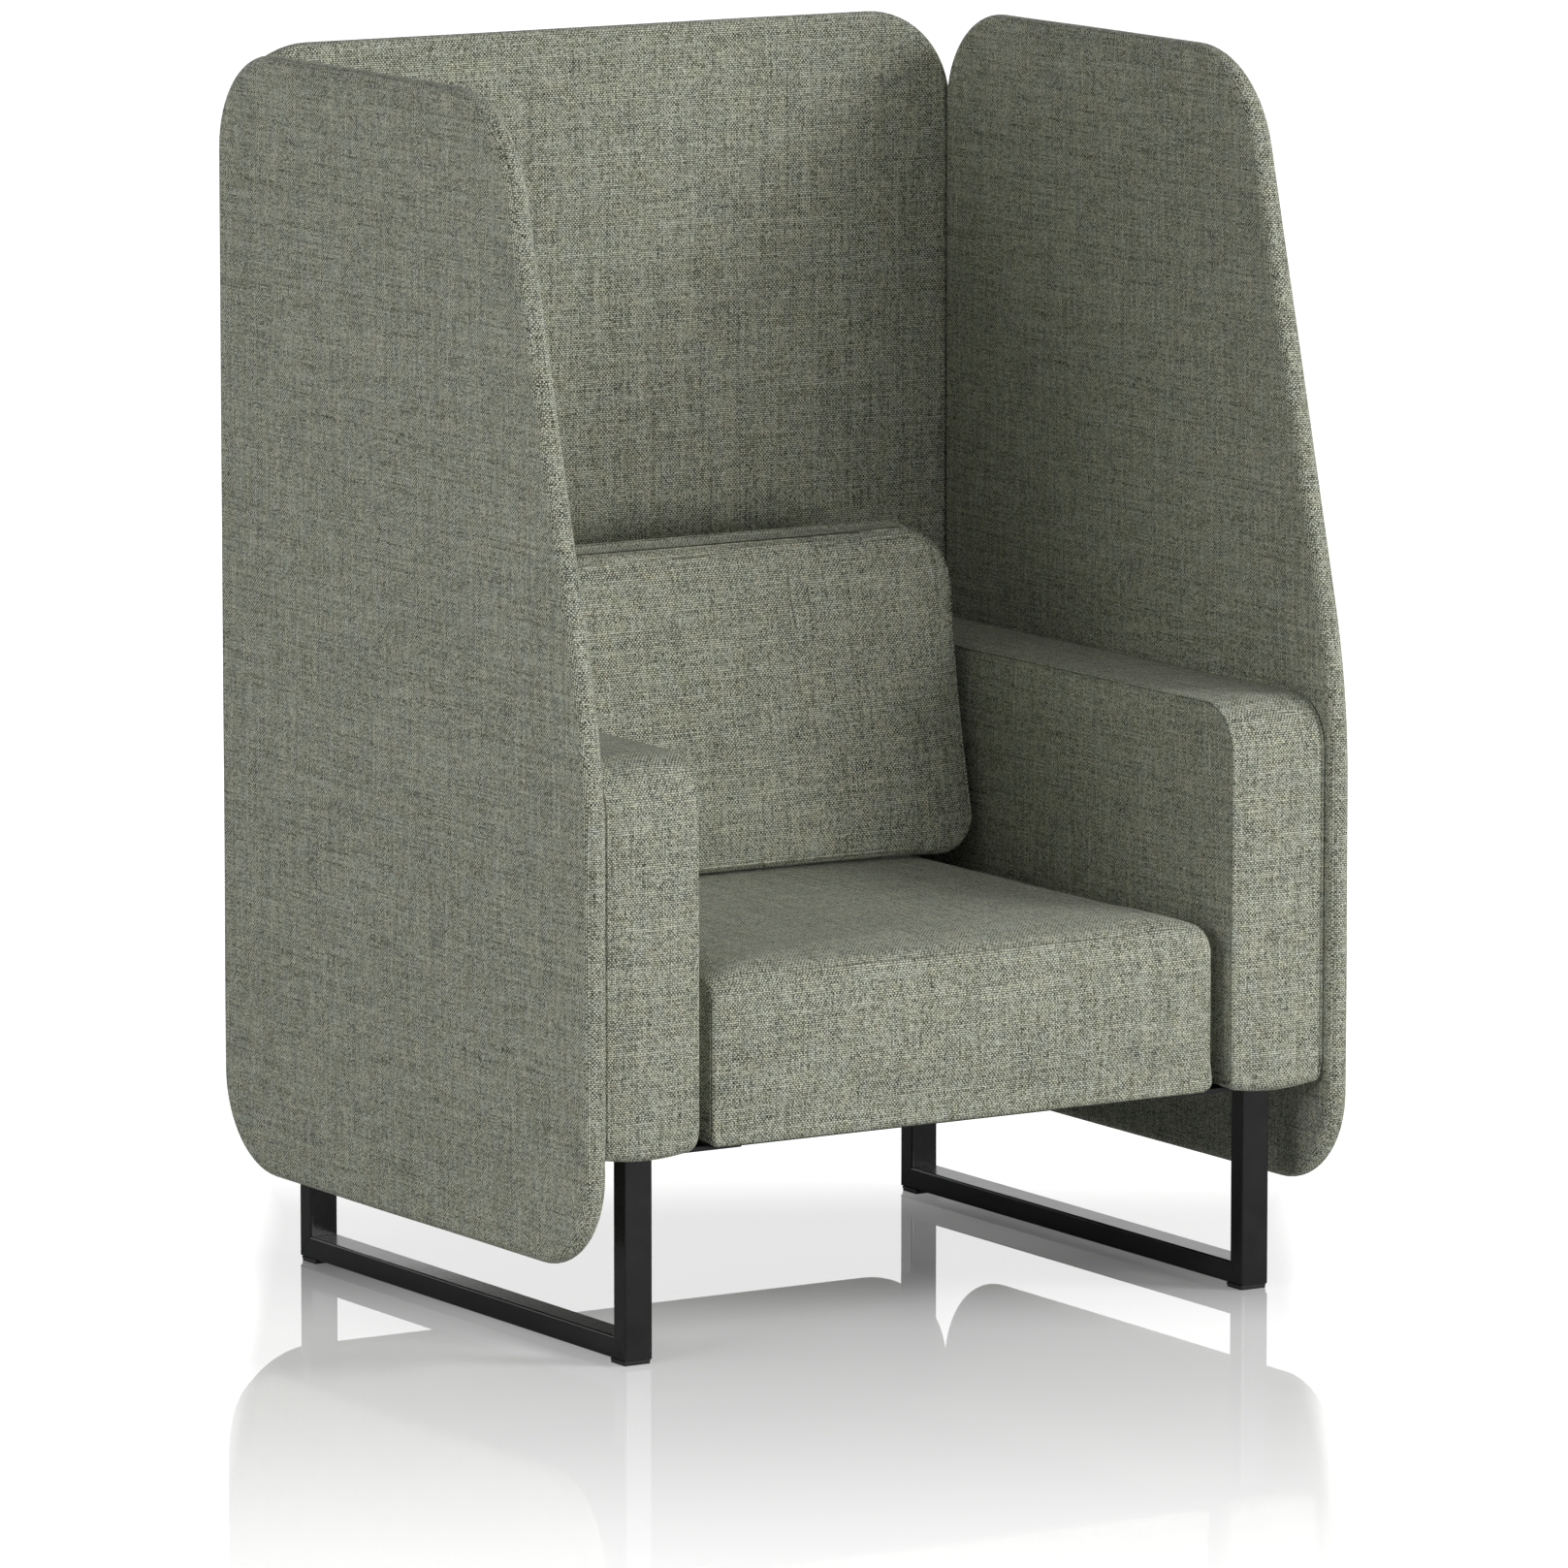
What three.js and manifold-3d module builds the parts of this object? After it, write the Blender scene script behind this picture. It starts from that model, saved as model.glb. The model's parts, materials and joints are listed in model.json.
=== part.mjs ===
// Acoustic high back lounge chair: a padded seat between two arms, closed in by three tall
// upholstered screens and carried by two sled frames of rectangular steel tube.
// Millimetres. X runs across the chair, -Y is the front and +Z is up. The origin is on the
// floor under the middle of the chair.
import * as THREE from 'three';
import { mergeVertices } from 'three/addons/utils/BufferGeometryUtils.js';
import Module from 'manifold-3d';

const wasm = await Module();
wasm.setup();

// Overall size
const overallWidth = 990;
const overallDepth = 832;
const overallHeight = 1376;

// Clearances shared by all pieces
const touchGap = 0.3;
const cutOverrun = 5;

// Screens: a board between two padded halves, with a fully rounded edge
const screenThickness = 26;
const screenEdgeRadius = 12.5;
const screenBottom = 112;
const screenCornerRadius = 110;
const screenFrontTopRadius = 142;
const screenKneeRadius = 800;
const screenKneeHeight = 674;
const screenTopSetback = 188;
const screenCornerOverlap = 13;
const screenCornerGap = 0.5;
const screenBoardThickness = 16;
const screenBoardInset = 8.5;

// Arms: a timber box frame with a panel on its outer side, inside a padded band and two side pads
const armWidth = 123;
const armTop = 668.5;
const armSetback = 15;
const armFrontRadius = 58;
const armCornerRadius = 16;
const armBandThickness = 14;
const armSidePadThickness = 8;
const armSidePadEdgeRadius = 6;
const armRailWidth = 35;
const armPanelThickness = 18;

// Seat: a timber frame with webbing inside a crowned block of foam
const seatArmGap = 17.7;
const seatTop = 431;
const seatSetback = 18.5;
const seatCrown = 6;
const seatFrontBulge = 3;
const seatSideDraw = 2;
const seatPlanRadius = 18;
const seatEdgeRadius = 26;
const seatBottomEdgeRadius = 12;
const seatWallThickness = 10;
const seatFrameRailWidth = 45;
const seatFrameHeight = 72;
const seatDustCoverThickness = 1.5;
const seatDustCoverInset = 6;
const webbingWidth = 50;
const webbingThickness = 2.5;
const webbingEndMargin = 8;
const webbingStrapsAcross = 5;
const webbingStrapsAlong = 4;

// Backrest: a padded block on a timber panel, and a wedge cushion in front of it
const backrestThickness = 172;
const backrestTop = 755;
const backrestEdgeRadius = 20;
const backrestCornerRadius = 40;
const backrestPanelThickness = 30;
const backrestPanelRearCover = 9.5;
const backrestPanelTopCover = 30;
const backrestPanelSideCover = 12.5;
const backrestPostWidth = 40;
const cushionArmGap = 9.7;
const cushionTop = 812;
const cushionTopDepth = 54;
const cushionBottomDepth = 125;
const cushionTopRadius = 66;
const cushionBottomRadius = 52;
const cushionEdgeRadius = 14;
const cushionCrown = 9;
const cushionSideDraw = 3;

// Sled frames: two legs and a bottom rail of rectangular tube, mitred at the lower corners
const tubeWidth = 35;
const tubeDepth = 25;
const tubeWall = 2;
const tubeCornerRadius = 2.5;
const mitreGap = 0.45;
const sledSideSetback = 75;
const sledFrontSetback = 50.5;
const sledRearSetback = 67.5;

// Glides under the sled corners
const glideWidth = 33.6;
const glideDepth = 31;
const glideCornerRadius = 2;
const glideCapThickness = 2.3;
const glideSoleThickness = 2.4;
const glideSoleInset = 0.6;
const glideFrontInset = 2.2;
const glidePegRadius = 4;
const glidePegLength = 12;

// Mounting plates on the legs, which carry the arms and the seat
const plateBottom = 230;
const plateThickness = 5;
const plateInnerOverhang = 111;
const plateOuterOverhang = 8;
const plateFrontOverhang = 8;
const plateDepth = 70;
const plateCornerRadius = 6;

// Bolts
const boltShankRadius = 4;
const boltHeadRadius = 7.5;
const boltHeadHeight = 4.6;
const boltHeadCrownRadius = 4.6;
const boltSocketRadius = 2.9;
const boltSocketDepth = 2.6;
const boltBiteInTimber = 25;
const boltBiteInBoard = 11;
const seatBoltInset = 26;
const armBoltBehindLeg = 18;
const screenBoltHeight = 450;
const screenBoltEndInset = 165;
const backBoltHeight = 600;
const backBoltSideInset = 115;
const counterboreDepth = 8;
const counterboreRadius = 9;

// Fineness of round stretches
const arcStepAngle = Math.PI / 14;
const bevelSteps = 3;
const softStraightSteps = 4;
const roundSides = 14;
const socketSides = 6;
const minimumRadius = 0.5;
const capRingShares = [0.84, 0.6, 0.3];

// Places that follow from the sizes above
const frontLine = -overallDepth / 2;
const backScreenMiddle = overallDepth / 2 - screenThickness / 2;
const backScreenFront = backScreenMiddle - screenThickness / 2;
const sideScreenMiddle = overallWidth / 2 - screenThickness / 2;
const screenEndDistance = screenThickness + screenCornerGap;
const sideScreenStepBack = Math.sqrt(screenEndDistance ** 2 - screenCornerOverlap ** 2);
const sideScreenRear = backScreenMiddle - sideScreenStepBack + screenThickness / 2;
const backScreenHalfWidth = sideScreenMiddle - screenCornerOverlap + screenThickness / 2;
const bodyRear = backScreenFront - touchGap;

const sledTop = plateBottom - touchGap;
const plateTop = plateBottom + plateThickness;
const armBottom = plateTop + touchGap;
const armFront = frontLine + armSetback;
const armCentre = overallWidth / 2 - screenThickness - touchGap - armWidth / 2;
const armCoreWidth = armWidth - 2 * (armSidePadThickness + touchGap);
const armPanelInnerX = armCentre + armCoreWidth / 2 - armPanelThickness;
const armInnerX = armCentre - armWidth / 2;
const armMiddleY = (armFront + bodyRear) / 2;
const screenBoltReach = (bodyRear - armFront) / 2 - screenBoltEndInset;

const dustCoverBottom = plateTop + touchGap;
const seatBottom = dustCoverBottom + seatDustCoverThickness + touchGap;
const seatWidth = 2 * (armInnerX - seatArmGap);
const seatFront = frontLine + seatSetback;
const seatFrameTop = seatBottom + seatFrameHeight;
const webbingBottom = seatFrameTop + touchGap;
const webbingTop = webbingBottom + webbingThickness;
const seatFrameHalfWidth = seatWidth / 2 - seatWallThickness - touchGap;
const seatFrameFront = seatFront + seatWallThickness + touchGap;
const seatFrameRear = bodyRear - seatWallThickness - touchGap;

const backrestFront = bodyRear - backrestThickness;
const backrestBottom = seatTop + seatCrown;
const panelRear = bodyRear - backrestPanelRearCover - touchGap;
const panelFront = panelRear - backrestPanelThickness;
const panelHalfWidth = seatWidth / 2 - backrestPanelSideCover - touchGap;
const panelTop = backrestTop - backrestPanelTopCover - touchGap;
const backBoltX = panelHalfWidth - backBoltSideInset;
const cushionWidth = 2 * (armInnerX - cushionArmGap);
const cushionRear = backrestFront - touchGap;
const cushionBottom = seatTop + seatCrown + touchGap;

const glideHeight = glideSoleThickness + touchGap + glideCapThickness;
const sledBottom = glideHeight + touchGap;
const sledHeight = sledTop - sledBottom;
const sledOuterWidth = overallWidth - 2 * sledSideSetback;
const sledDepth = overallDepth - sledFrontSetback - sledRearSetback;
const sledMiddleX = sledOuterWidth / 2 - tubeWidth / 2;
const sledMiddleY = frontLine + sledFrontSetback + sledDepth / 2;
const sledMiddleZ = (sledTop + sledBottom) / 2;
const glideReach = sledDepth / 2 - glideFrontInset - glideDepth / 2;
const plateReach = sledDepth / 2 + plateFrontOverhang - plateDepth / 2;
const plateInnerReach = sledOuterWidth / 2 - tubeWidth - plateInnerOverhang;
const plateOuterReach = sledOuterWidth / 2 + plateOuterOverhang;
const armBoltReach = sledDepth / 2 - tubeDepth - armBoltBehindLeg;
const seatBoltX = plateInnerReach + seatBoltInset;
const holeRadius = boltShankRadius + touchGap;

// Materials
const fabricLight = new THREE.MeshStandardMaterial({ color: 0x8b8f7e, roughness: 0.95, metalness: 0 });
const fabricDark = new THREE.MeshStandardMaterial({ color: 0x7d8172, roughness: 0.95, metalness: 0 });
const boardMaterial = new THREE.MeshStandardMaterial({ color: 0xb99a6b, roughness: 0.75, metalness: 0 });
const timberMaterial = new THREE.MeshStandardMaterial({ color: 0xc9a877, roughness: 0.7, metalness: 0 });
const webbingMaterial = new THREE.MeshStandardMaterial({ color: 0x2c2c2e, roughness: 0.85, metalness: 0 });
const clothMaterial = new THREE.MeshStandardMaterial({ color: 0x1d1d1f, roughness: 0.95, metalness: 0 });
const steelMaterial = new THREE.MeshStandardMaterial({ color: 0x1b1b1c, roughness: 0.45, metalness: 0.3 });
const boltMaterial = new THREE.MeshStandardMaterial({ color: 0x3a3a3d, roughness: 0.35, metalness: 0.9 });
const glideMaterial = new THREE.MeshStandardMaterial({ color: 0x161616, roughness: 0.6, metalness: 0 });
const soleMaterial = new THREE.MeshStandardMaterial({ color: 0x222222, roughness: 0.9, metalness: 0 });

// Directions in which a flat outline is raised
const alongX = new THREE.Matrix4().makeBasis(
  new THREE.Vector3(0, 1, 0), new THREE.Vector3(0, 0, 1), new THREE.Vector3(1, 0, 0));
const alongMinusY = new THREE.Matrix4().makeBasis(
  new THREE.Vector3(1, 0, 0), new THREE.Vector3(0, 0, 1), new THREE.Vector3(0, -1, 0));
const alongZ = new THREE.Matrix4();

const chair = new THREE.Group();

// Add one named piece to the chair or to a group of it
function addPiece(name, geometry, material, parent = chair) {
  const mesh = new THREE.Mesh(geometry, material.clone());
  mesh.name = name;
  parent.add(mesh);
  return mesh;
}

// Closed mesh to solid, for joining and cutting
function toSolid(geometry) {
  const bare = geometry.clone();
  bare.deleteAttribute('normal');
  bare.deleteAttribute('uv');
  const merged = mergeVertices(bare);
  const vertProperties = new Float32Array(merged.attributes.position.array);
  const triVerts = new Uint32Array(merged.index.array);
  return new wasm.Manifold(new wasm.Mesh({ numProp: 3, vertProperties, triVerts }));
}

// Solid back to a mesh with flat shading
function toGeometry(solid) {
  const mesh = solid.getMesh();
  const geometry = new THREE.BufferGeometry();
  geometry.setAttribute('position', new THREE.BufferAttribute(new Float32Array(mesh.vertProperties), 3));
  geometry.setIndex(new THREE.BufferAttribute(new Uint32Array(mesh.triVerts), 1));
  const flat = geometry.toNonIndexed();
  flat.computeVertexNormals();
  return flat;
}

// Cut a list of shapes out of one shape
function cutAway(geometry, cutters) {
  let solid = toSolid(geometry);
  for (const cutter of cutters) {
    solid = solid.subtract(toSolid(cutter));
  }
  return toGeometry(solid);
}

// A convex outline is a list of corners {x, y, r} that runs anticlockwise
function boxCorners(left, right, low, high, radius) {
  return [
    { x: left, y: low, r: radius },
    { x: right, y: low, r: radius },
    { x: right, y: high, r: radius },
    { x: left, y: high, r: radius },
  ];
}

// Move every side of an outline inwards, and shrink its corner radii to match
function insetCorners(corners, inset) {
  return corners.map((corner, index) => {
    const before = corners[(index + corners.length - 1) % corners.length];
    const after = corners[(index + 1) % corners.length];
    const here = new THREE.Vector2(corner.x, corner.y);
    const incoming = here.clone().sub(new THREE.Vector2(before.x, before.y)).normalize();
    const outgoing = new THREE.Vector2(after.x, after.y).sub(here).normalize();
    const turn = Math.acos(THREE.MathUtils.clamp(incoming.dot(outgoing), -1, 1));
    const inward = new THREE.Vector2(-incoming.y - outgoing.y, incoming.x + outgoing.x);
    inward.normalize().multiplyScalar(inset / Math.cos(turn / 2));
    here.add(inward);
    return { x: here.x, y: here.y, r: Math.max(corner.r - inset, minimumRadius) };
  });
}

// Points of an outline with its corners rounded. Straight runs may be divided, and drawn in
// between the corners by a given depth.
function outlinePoints(corners, straightSteps = 1, drawIn = 0) {
  const arcs = corners.map((corner, index) => {
    const before = corners[(index + corners.length - 1) % corners.length];
    const after = corners[(index + 1) % corners.length];
    const here = new THREE.Vector2(corner.x, corner.y);
    const incoming = here.clone().sub(new THREE.Vector2(before.x, before.y)).normalize();
    const outgoing = new THREE.Vector2(after.x, after.y).sub(here).normalize();
    const turn = Math.acos(THREE.MathUtils.clamp(incoming.dot(outgoing), -1, 1));
    const tangent = corner.r * Math.tan(turn / 2);
    const start = here.clone().addScaledVector(incoming, -tangent);
    const centre = start.clone().addScaledVector(new THREE.Vector2(-incoming.y, incoming.x), corner.r);
    const startAngle = Math.atan2(start.y - centre.y, start.x - centre.x);
    const steps = Math.max(1, Math.ceil(turn / arcStepAngle));
    const points = [];
    for (let step = 0; step <= steps; step += 1) {
      const angle = startAngle + (turn * step) / steps;
      const spoke = new THREE.Vector2(Math.cos(angle), Math.sin(angle));
      points.push(centre.clone().addScaledVector(spoke, corner.r));
    }
    return points;
  });
  const outline = [];
  arcs.forEach((arc, index) => {
    outline.push(...arc);
    const start = arc[arc.length - 1];
    const end = arcs[(index + 1) % arcs.length][0];
    const run = end.clone().sub(start);
    const inward = new THREE.Vector2(-run.y, run.x).normalize();
    for (let step = 1; step < straightSteps; step += 1) {
      const share = step / straightSteps;
      const point = start.clone().addScaledVector(run, share);
      outline.push(point.addScaledVector(inward, drawIn * 4 * share * (1 - share)));
    }
  });
  return outline;
}

// Flat shape raised to a thickness, centred on its own mid-plane
function raise(shape, thickness) {
  const geometry = new THREE.ExtrudeGeometry(shape, { depth: thickness, bevelEnabled: false, steps: 1 });
  return geometry.translate(0, 0, -thickness / 2);
}

// Straight prism of an outline
function prism(corners, thickness, direction, holes = []) {
  const shape = new THREE.Shape(outlinePoints(corners));
  for (const hole of holes) {
    shape.holes.push(new THREE.Path(outlinePoints(hole)));
  }
  return raise(shape, thickness).applyMatrix4(direction);
}

// Prism whose two faces have rounded edges, centred on its own mid-plane
function roundedSlab(corners, thickness, radius, direction) {
  const shape = new THREE.Shape(outlinePoints(insetCorners(corners, radius)));
  const core = thickness - 2 * radius;
  const geometry = new THREE.ExtrudeGeometry(shape, {
    depth: core,
    steps: 1,
    bevelEnabled: true,
    bevelThickness: radius,
    bevelSize: radius,
    bevelSegments: bevelSteps,
  });
  geometry.translate(0, 0, -core / 2);
  return geometry.applyMatrix4(direction);
}

// Box between two corners
function boxBetween(low, high) {
  const size = new THREE.Vector3().subVectors(high, low);
  const middle = new THREE.Vector3().addVectors(high, low).multiplyScalar(0.5);
  const geometry = new THREE.BoxGeometry(size.x, size.y, size.z);
  return geometry.translate(middle.x, middle.y, middle.z);
}

// Round rod between two points, for shanks and for the holes round them
function rod(start, end, radius) {
  const length = start.distanceTo(end);
  const geometry = new THREE.CylinderGeometry(radius, radius, length, roundSides);
  const heading = new THREE.Vector3().subVectors(end, start).normalize();
  geometry.applyQuaternion(new THREE.Quaternion().setFromUnitVectors(new THREE.Vector3(0, 1, 0), heading));
  const middle = new THREE.Vector3().addVectors(start, end).multiplyScalar(0.5);
  return geometry.translate(middle.x, middle.y, middle.z);
}

// Crowned soft form. The outline lies in the form's own x and y. Each edge level gives how
// far the outline is drawn in and the rise of that ring, from the back face to the front
// face, and both faces swell towards their middle. The place function turns a point of the
// form, with its rise and its swell, into a point of the chair.
function softForm(corners, levels, backCrown, frontCrown, drawIn, place) {
  const rings = levels.map((level) => ({
    points: outlinePoints(insetCorners(corners, level.inset), softStraightSteps, drawIn),
    rise: level.rise,
  }));
  const xs = corners.map((corner) => corner.x);
  const ys = corners.map((corner) => corner.y);
  const middle = new THREE.Vector2(Math.min(...xs) + Math.max(...xs), Math.min(...ys) + Math.max(...ys));
  middle.divideScalar(2);
  const capRing = (ring, share, crown) => ({
    points: ring.points.map((point) => point.clone().sub(middle).multiplyScalar(share).add(middle)),
    rise: ring.rise,
    swell: crown * (1 - share ** 2),
  });
  const first = rings[0];
  const last = rings[rings.length - 1];
  const backCap = capRingShares.map((share) => capRing(first, share, -backCrown)).reverse();
  const frontCap = capRingShares.map((share) => capRing(last, share, frontCrown));
  const all = [...backCap, ...rings, ...frontCap];
  const positions = [];
  const push = (x, y, rise, swell) => positions.push(...place(x, y, rise, swell).toArray());
  push(middle.x, middle.y, first.rise, -backCrown);
  for (const ring of all) {
    for (const point of ring.points) {
      push(point.x, point.y, ring.rise, ring.swell ?? 0);
    }
  }
  push(middle.x, middle.y, last.rise, frontCrown);
  const count = first.points.length;
  const endIndex = 1 + all.length * count;
  const indices = [];
  for (let side = 0; side < count; side += 1) {
    const next = (side + 1) % count;
    indices.push(0, 1 + next, 1 + side);
    for (let ring = 0; ring < all.length - 1; ring += 1) {
      const low = 1 + ring * count;
      const high = low + count;
      indices.push(low + side, low + next, high + next, low + side, high + next, high + side);
    }
    const top = endIndex - count;
    indices.push(endIndex, top + side, top + next);
  }
  const geometry = new THREE.BufferGeometry();
  geometry.setAttribute('position', new THREE.Float32BufferAttribute(positions, 3));
  geometry.setIndex(indices);
  geometry.computeVertexNormals();
  return geometry;
}

// Edge levels of a soft form: a rounded back edge, a straight wall and a rounded front edge
function edgeLevels(backRadius, frontRadius, height) {
  const levels = [];
  for (let step = 0; step <= bevelSteps; step += 1) {
    const angle = (Math.PI / 2) * (step / bevelSteps);
    levels.push({ inset: backRadius * (1 - Math.sin(angle)), rise: backRadius * (1 - Math.cos(angle)) });
  }
  for (let step = 0; step <= bevelSteps; step += 1) {
    const angle = (Math.PI / 2) * (step / bevelSteps);
    const drop = frontRadius * (1 - Math.sin(angle));
    levels.push({ inset: frontRadius * (1 - Math.cos(angle)), rise: height - drop });
  }
  return levels;
}

// Button head bolt that points along +Z from the underside of its head
function boltGeometry(length) {
  const profile = [new THREE.Vector2(0, -boltHeadHeight)];
  const rimHeight = boltHeadHeight - boltHeadCrownRadius;
  for (let step = 0; step <= bevelSteps; step += 1) {
    const angle = (Math.PI / 2) * (step / bevelSteps);
    const radius = boltHeadRadius - boltHeadCrownRadius * (1 - Math.sin(angle));
    profile.push(new THREE.Vector2(radius, -rimHeight - boltHeadCrownRadius * Math.cos(angle)));
  }
  profile.push(new THREE.Vector2(boltShankRadius, 0));
  profile.push(new THREE.Vector2(boltShankRadius, length));
  profile.push(new THREE.Vector2(0, length));
  const body = new THREE.LatheGeometry(profile, roundSides).rotateX(Math.PI / 2);
  const socketLength = 2 * boltSocketDepth;
  const socket = new THREE.CylinderGeometry(boltSocketRadius, boltSocketRadius, socketLength, socketSides);
  socket.rotateX(Math.PI / 2).translate(0, 0, -boltHeadHeight);
  return cutAway(body, [socket]);
}

// Bolt holes that several pieces share, in the chair's own frame
const sideNames = { '-1': 'left', 1: 'right' };
const endNames = { '-1': 'front', 1: 'rear' };
const signs = [-1, 1];

function armBoltHole(side, end) {
  const y = sledMiddleY + end * armBoltReach;
  const x = side * sledMiddleX;
  const top = armBottom + armBandThickness + touchGap + boltBiteInTimber + touchGap;
  return rod(new THREE.Vector3(x, y, plateBottom - cutOverrun), new THREE.Vector3(x, y, top), holeRadius);
}

function seatBoltHole(side, end) {
  const y = sledMiddleY + end * plateReach;
  const x = side * seatBoltX;
  const top = seatBottom + boltBiteInTimber + touchGap;
  return rod(new THREE.Vector3(x, y, plateBottom - cutOverrun), new THREE.Vector3(x, y, top), holeRadius);
}

function screenBoltHole(side, end) {
  const inside = armPanelInnerX - cutOverrun;
  const outside = sideScreenMiddle - screenBoardThickness / 2 + boltBiteInBoard + touchGap;
  const y = armMiddleY + end * screenBoltReach;
  const start = new THREE.Vector3(side * inside, y, screenBoltHeight);
  return rod(start, new THREE.Vector3(side * outside, y, screenBoltHeight), holeRadius);
}

function backBoltHole(side) {
  const end = backScreenMiddle - screenBoardThickness / 2 + boltBiteInBoard + touchGap;
  const start = new THREE.Vector3(side * backBoltX, panelFront - cutOverrun, backBoltHeight);
  return rod(start, new THREE.Vector3(side * backBoltX, end, backBoltHeight), holeRadius);
}

// Screens
const sideScreenCorners = [
  { x: frontLine, y: screenBottom, r: screenCornerRadius },
  { x: sideScreenRear, y: screenBottom, r: screenCornerRadius },
  { x: sideScreenRear, y: overallHeight, r: screenCornerRadius },
  { x: frontLine + screenTopSetback, y: overallHeight, r: screenFrontTopRadius },
  { x: frontLine, y: screenKneeHeight, r: screenKneeRadius },
];
const backScreenCorners = boxCorners(
  -backScreenHalfWidth, backScreenHalfWidth, screenBottom, overallHeight, screenCornerRadius);

// One padded half of a screen, hollowed for its board. The half lies on the given side of
// the mid-plane along the given axis.
function screenHalf(corners, direction, axis, sign, middle, holes) {
  const slab = roundedSlab(corners, screenThickness, screenEdgeRadius, direction);
  const recessThickness = screenBoardThickness + 2 * touchGap;
  const recess = prism(insetCorners(corners, screenBoardInset - touchGap), recessThickness, direction);
  const reach = overallHeight + overallWidth;
  const low = new THREE.Vector3(-reach, -reach, -reach);
  const high = new THREE.Vector3(reach, reach, reach);
  if (sign > 0) {
    high[axis] = touchGap / 2;
  } else {
    low[axis] = -touchGap / 2;
  }
  const shift = new THREE.Vector3();
  shift[axis] = -middle;
  const movedHoles = holes.map((hole) => hole.clone().translate(shift.x, shift.y, shift.z));
  return cutAway(slab, [recess, boxBetween(low, high), ...movedHoles]);
}

function makeScreen(name, corners, direction, axis, middle, halves, holes) {
  const shift = new THREE.Vector3();
  shift[axis] = -middle;
  const movedHoles = holes.map((hole) => hole.clone().translate(shift.x, shift.y, shift.z));
  const board = prism(insetCorners(corners, screenBoardInset), screenBoardThickness, direction);
  addPiece(`${name}_board`, cutAway(board, movedHoles), boardMaterial).position[axis] = middle;
  for (const half of halves) {
    const halfHoles = half.holed ? holes : [];
    const geometry = screenHalf(corners, direction, axis, half.sign, middle, halfHoles);
    addPiece(`${name}_${half.name}_pad`, geometry, half.material).position[axis] = middle;
  }
}

for (const side of signs) {
  makeScreen(
    `${sideNames[side]}_screen`, sideScreenCorners, alongX, 'x', side * sideScreenMiddle,
    [
      { name: 'inner', sign: -side, holed: true, material: fabricDark },
      { name: 'outer', sign: side, holed: false, material: fabricLight },
    ],
    signs.map((end) => screenBoltHole(side, end)),
  );
}
makeScreen(
  'back_screen', backScreenCorners, alongMinusY, 'y', backScreenMiddle,
  [
    { name: 'front', sign: -1, holed: true, material: fabricDark },
    { name: 'rear', sign: 1, holed: false, material: fabricLight },
  ],
  signs.map((side) => backBoltHole(side)),
);

// Arms
const armCorners = [
  { x: armFront, y: armBottom, r: armCornerRadius },
  { x: bodyRear, y: armBottom, r: armCornerRadius },
  { x: bodyRear, y: armTop, r: armCornerRadius },
  { x: armFront, y: armTop, r: armFrontRadius },
];

function armSidePad(sign) {
  const slab = roundedSlab(armCorners, 2 * armSidePadThickness, armSidePadEdgeRadius, alongX);
  const reach = overallHeight;
  const low = new THREE.Vector3(-reach, -reach, -reach);
  const high = new THREE.Vector3(reach, reach, reach);
  if (sign > 0) {
    high.x = 0;
  } else {
    low.x = 0;
  }
  return cutAway(slab, [boxBetween(low, high)]);
}

function armFrame(side) {
  const frameCorners = insetCorners(armCorners, armBandThickness + touchGap);
  const pocketDepth = armCoreWidth - armPanelThickness + cutOverrun;
  const pocket = prism(insetCorners(frameCorners, armRailWidth), pocketDepth, alongX);
  pocket.translate(side * (armCoreWidth / 2 - armPanelThickness - pocketDepth / 2), 0, 0);
  return cutAway(prism(frameCorners, armCoreWidth, alongX), [pocket]);
}

for (const side of signs) {
  const name = `${sideNames[side]}_arm`;
  const centre = side * armCentre;
  const fromCentre = (geometry) => geometry.translate(-centre, 0, 0);
  const baseHoles = signs.map((end) => fromCentre(armBoltHole(side, end)));
  const screenHoles = signs.map((end) => fromCentre(screenBoltHole(side, end)));
  const frame = cutAway(armFrame(side), [...baseHoles, ...screenHoles]);
  addPiece(`${name}_frame`, frame, timberMaterial).position.x = centre;
  const band = prism(armCorners, armCoreWidth, alongX, [insetCorners(armCorners, armBandThickness)]);
  addPiece(`${name}_band`, cutAway(band, baseHoles), fabricLight).position.x = centre;
  const padOffset = armCoreWidth / 2 + touchGap;
  const outerPad = armSidePad(side).translate(side * padOffset, 0, 0);
  addPiece(`${name}_outer_pad`, cutAway(outerPad, screenHoles), fabricDark).position.x = centre;
  const innerPad = armSidePad(-side).translate(-side * padOffset, 0, 0);
  addPiece(`${name}_inner_pad`, innerPad, fabricDark).position.x = centre;
}

// Seat
const seatCorners = boxCorners(-seatWidth / 2, seatWidth / 2, seatFront, bodyRear, seatPlanRadius);
const seatHeight = seatTop - seatBottom;
const seatBoltHoles = signs.flatMap((side) => signs.map((end) => seatBoltHole(side, end)));

function placeSeatPoint(x, y, rise, swell) {
  const height = rise / seatHeight;
  const bulge = seatFrontBulge * 4 * height * (1 - height);
  const frontShare = THREE.MathUtils.clamp((seatFrameFront - y) / (seatFrameFront - seatFront), 0, 1);
  return new THREE.Vector3(x, y + frontShare * (seatFrontBulge - bulge), seatBottom + rise + swell);
}

function postCorners(side, clearance) {
  const outer = panelHalfWidth + clearance;
  const inner = panelHalfWidth - backrestPostWidth - clearance;
  const left = side > 0 ? inner : -outer;
  const right = side > 0 ? outer : -inner;
  return { left, right };
}

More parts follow.
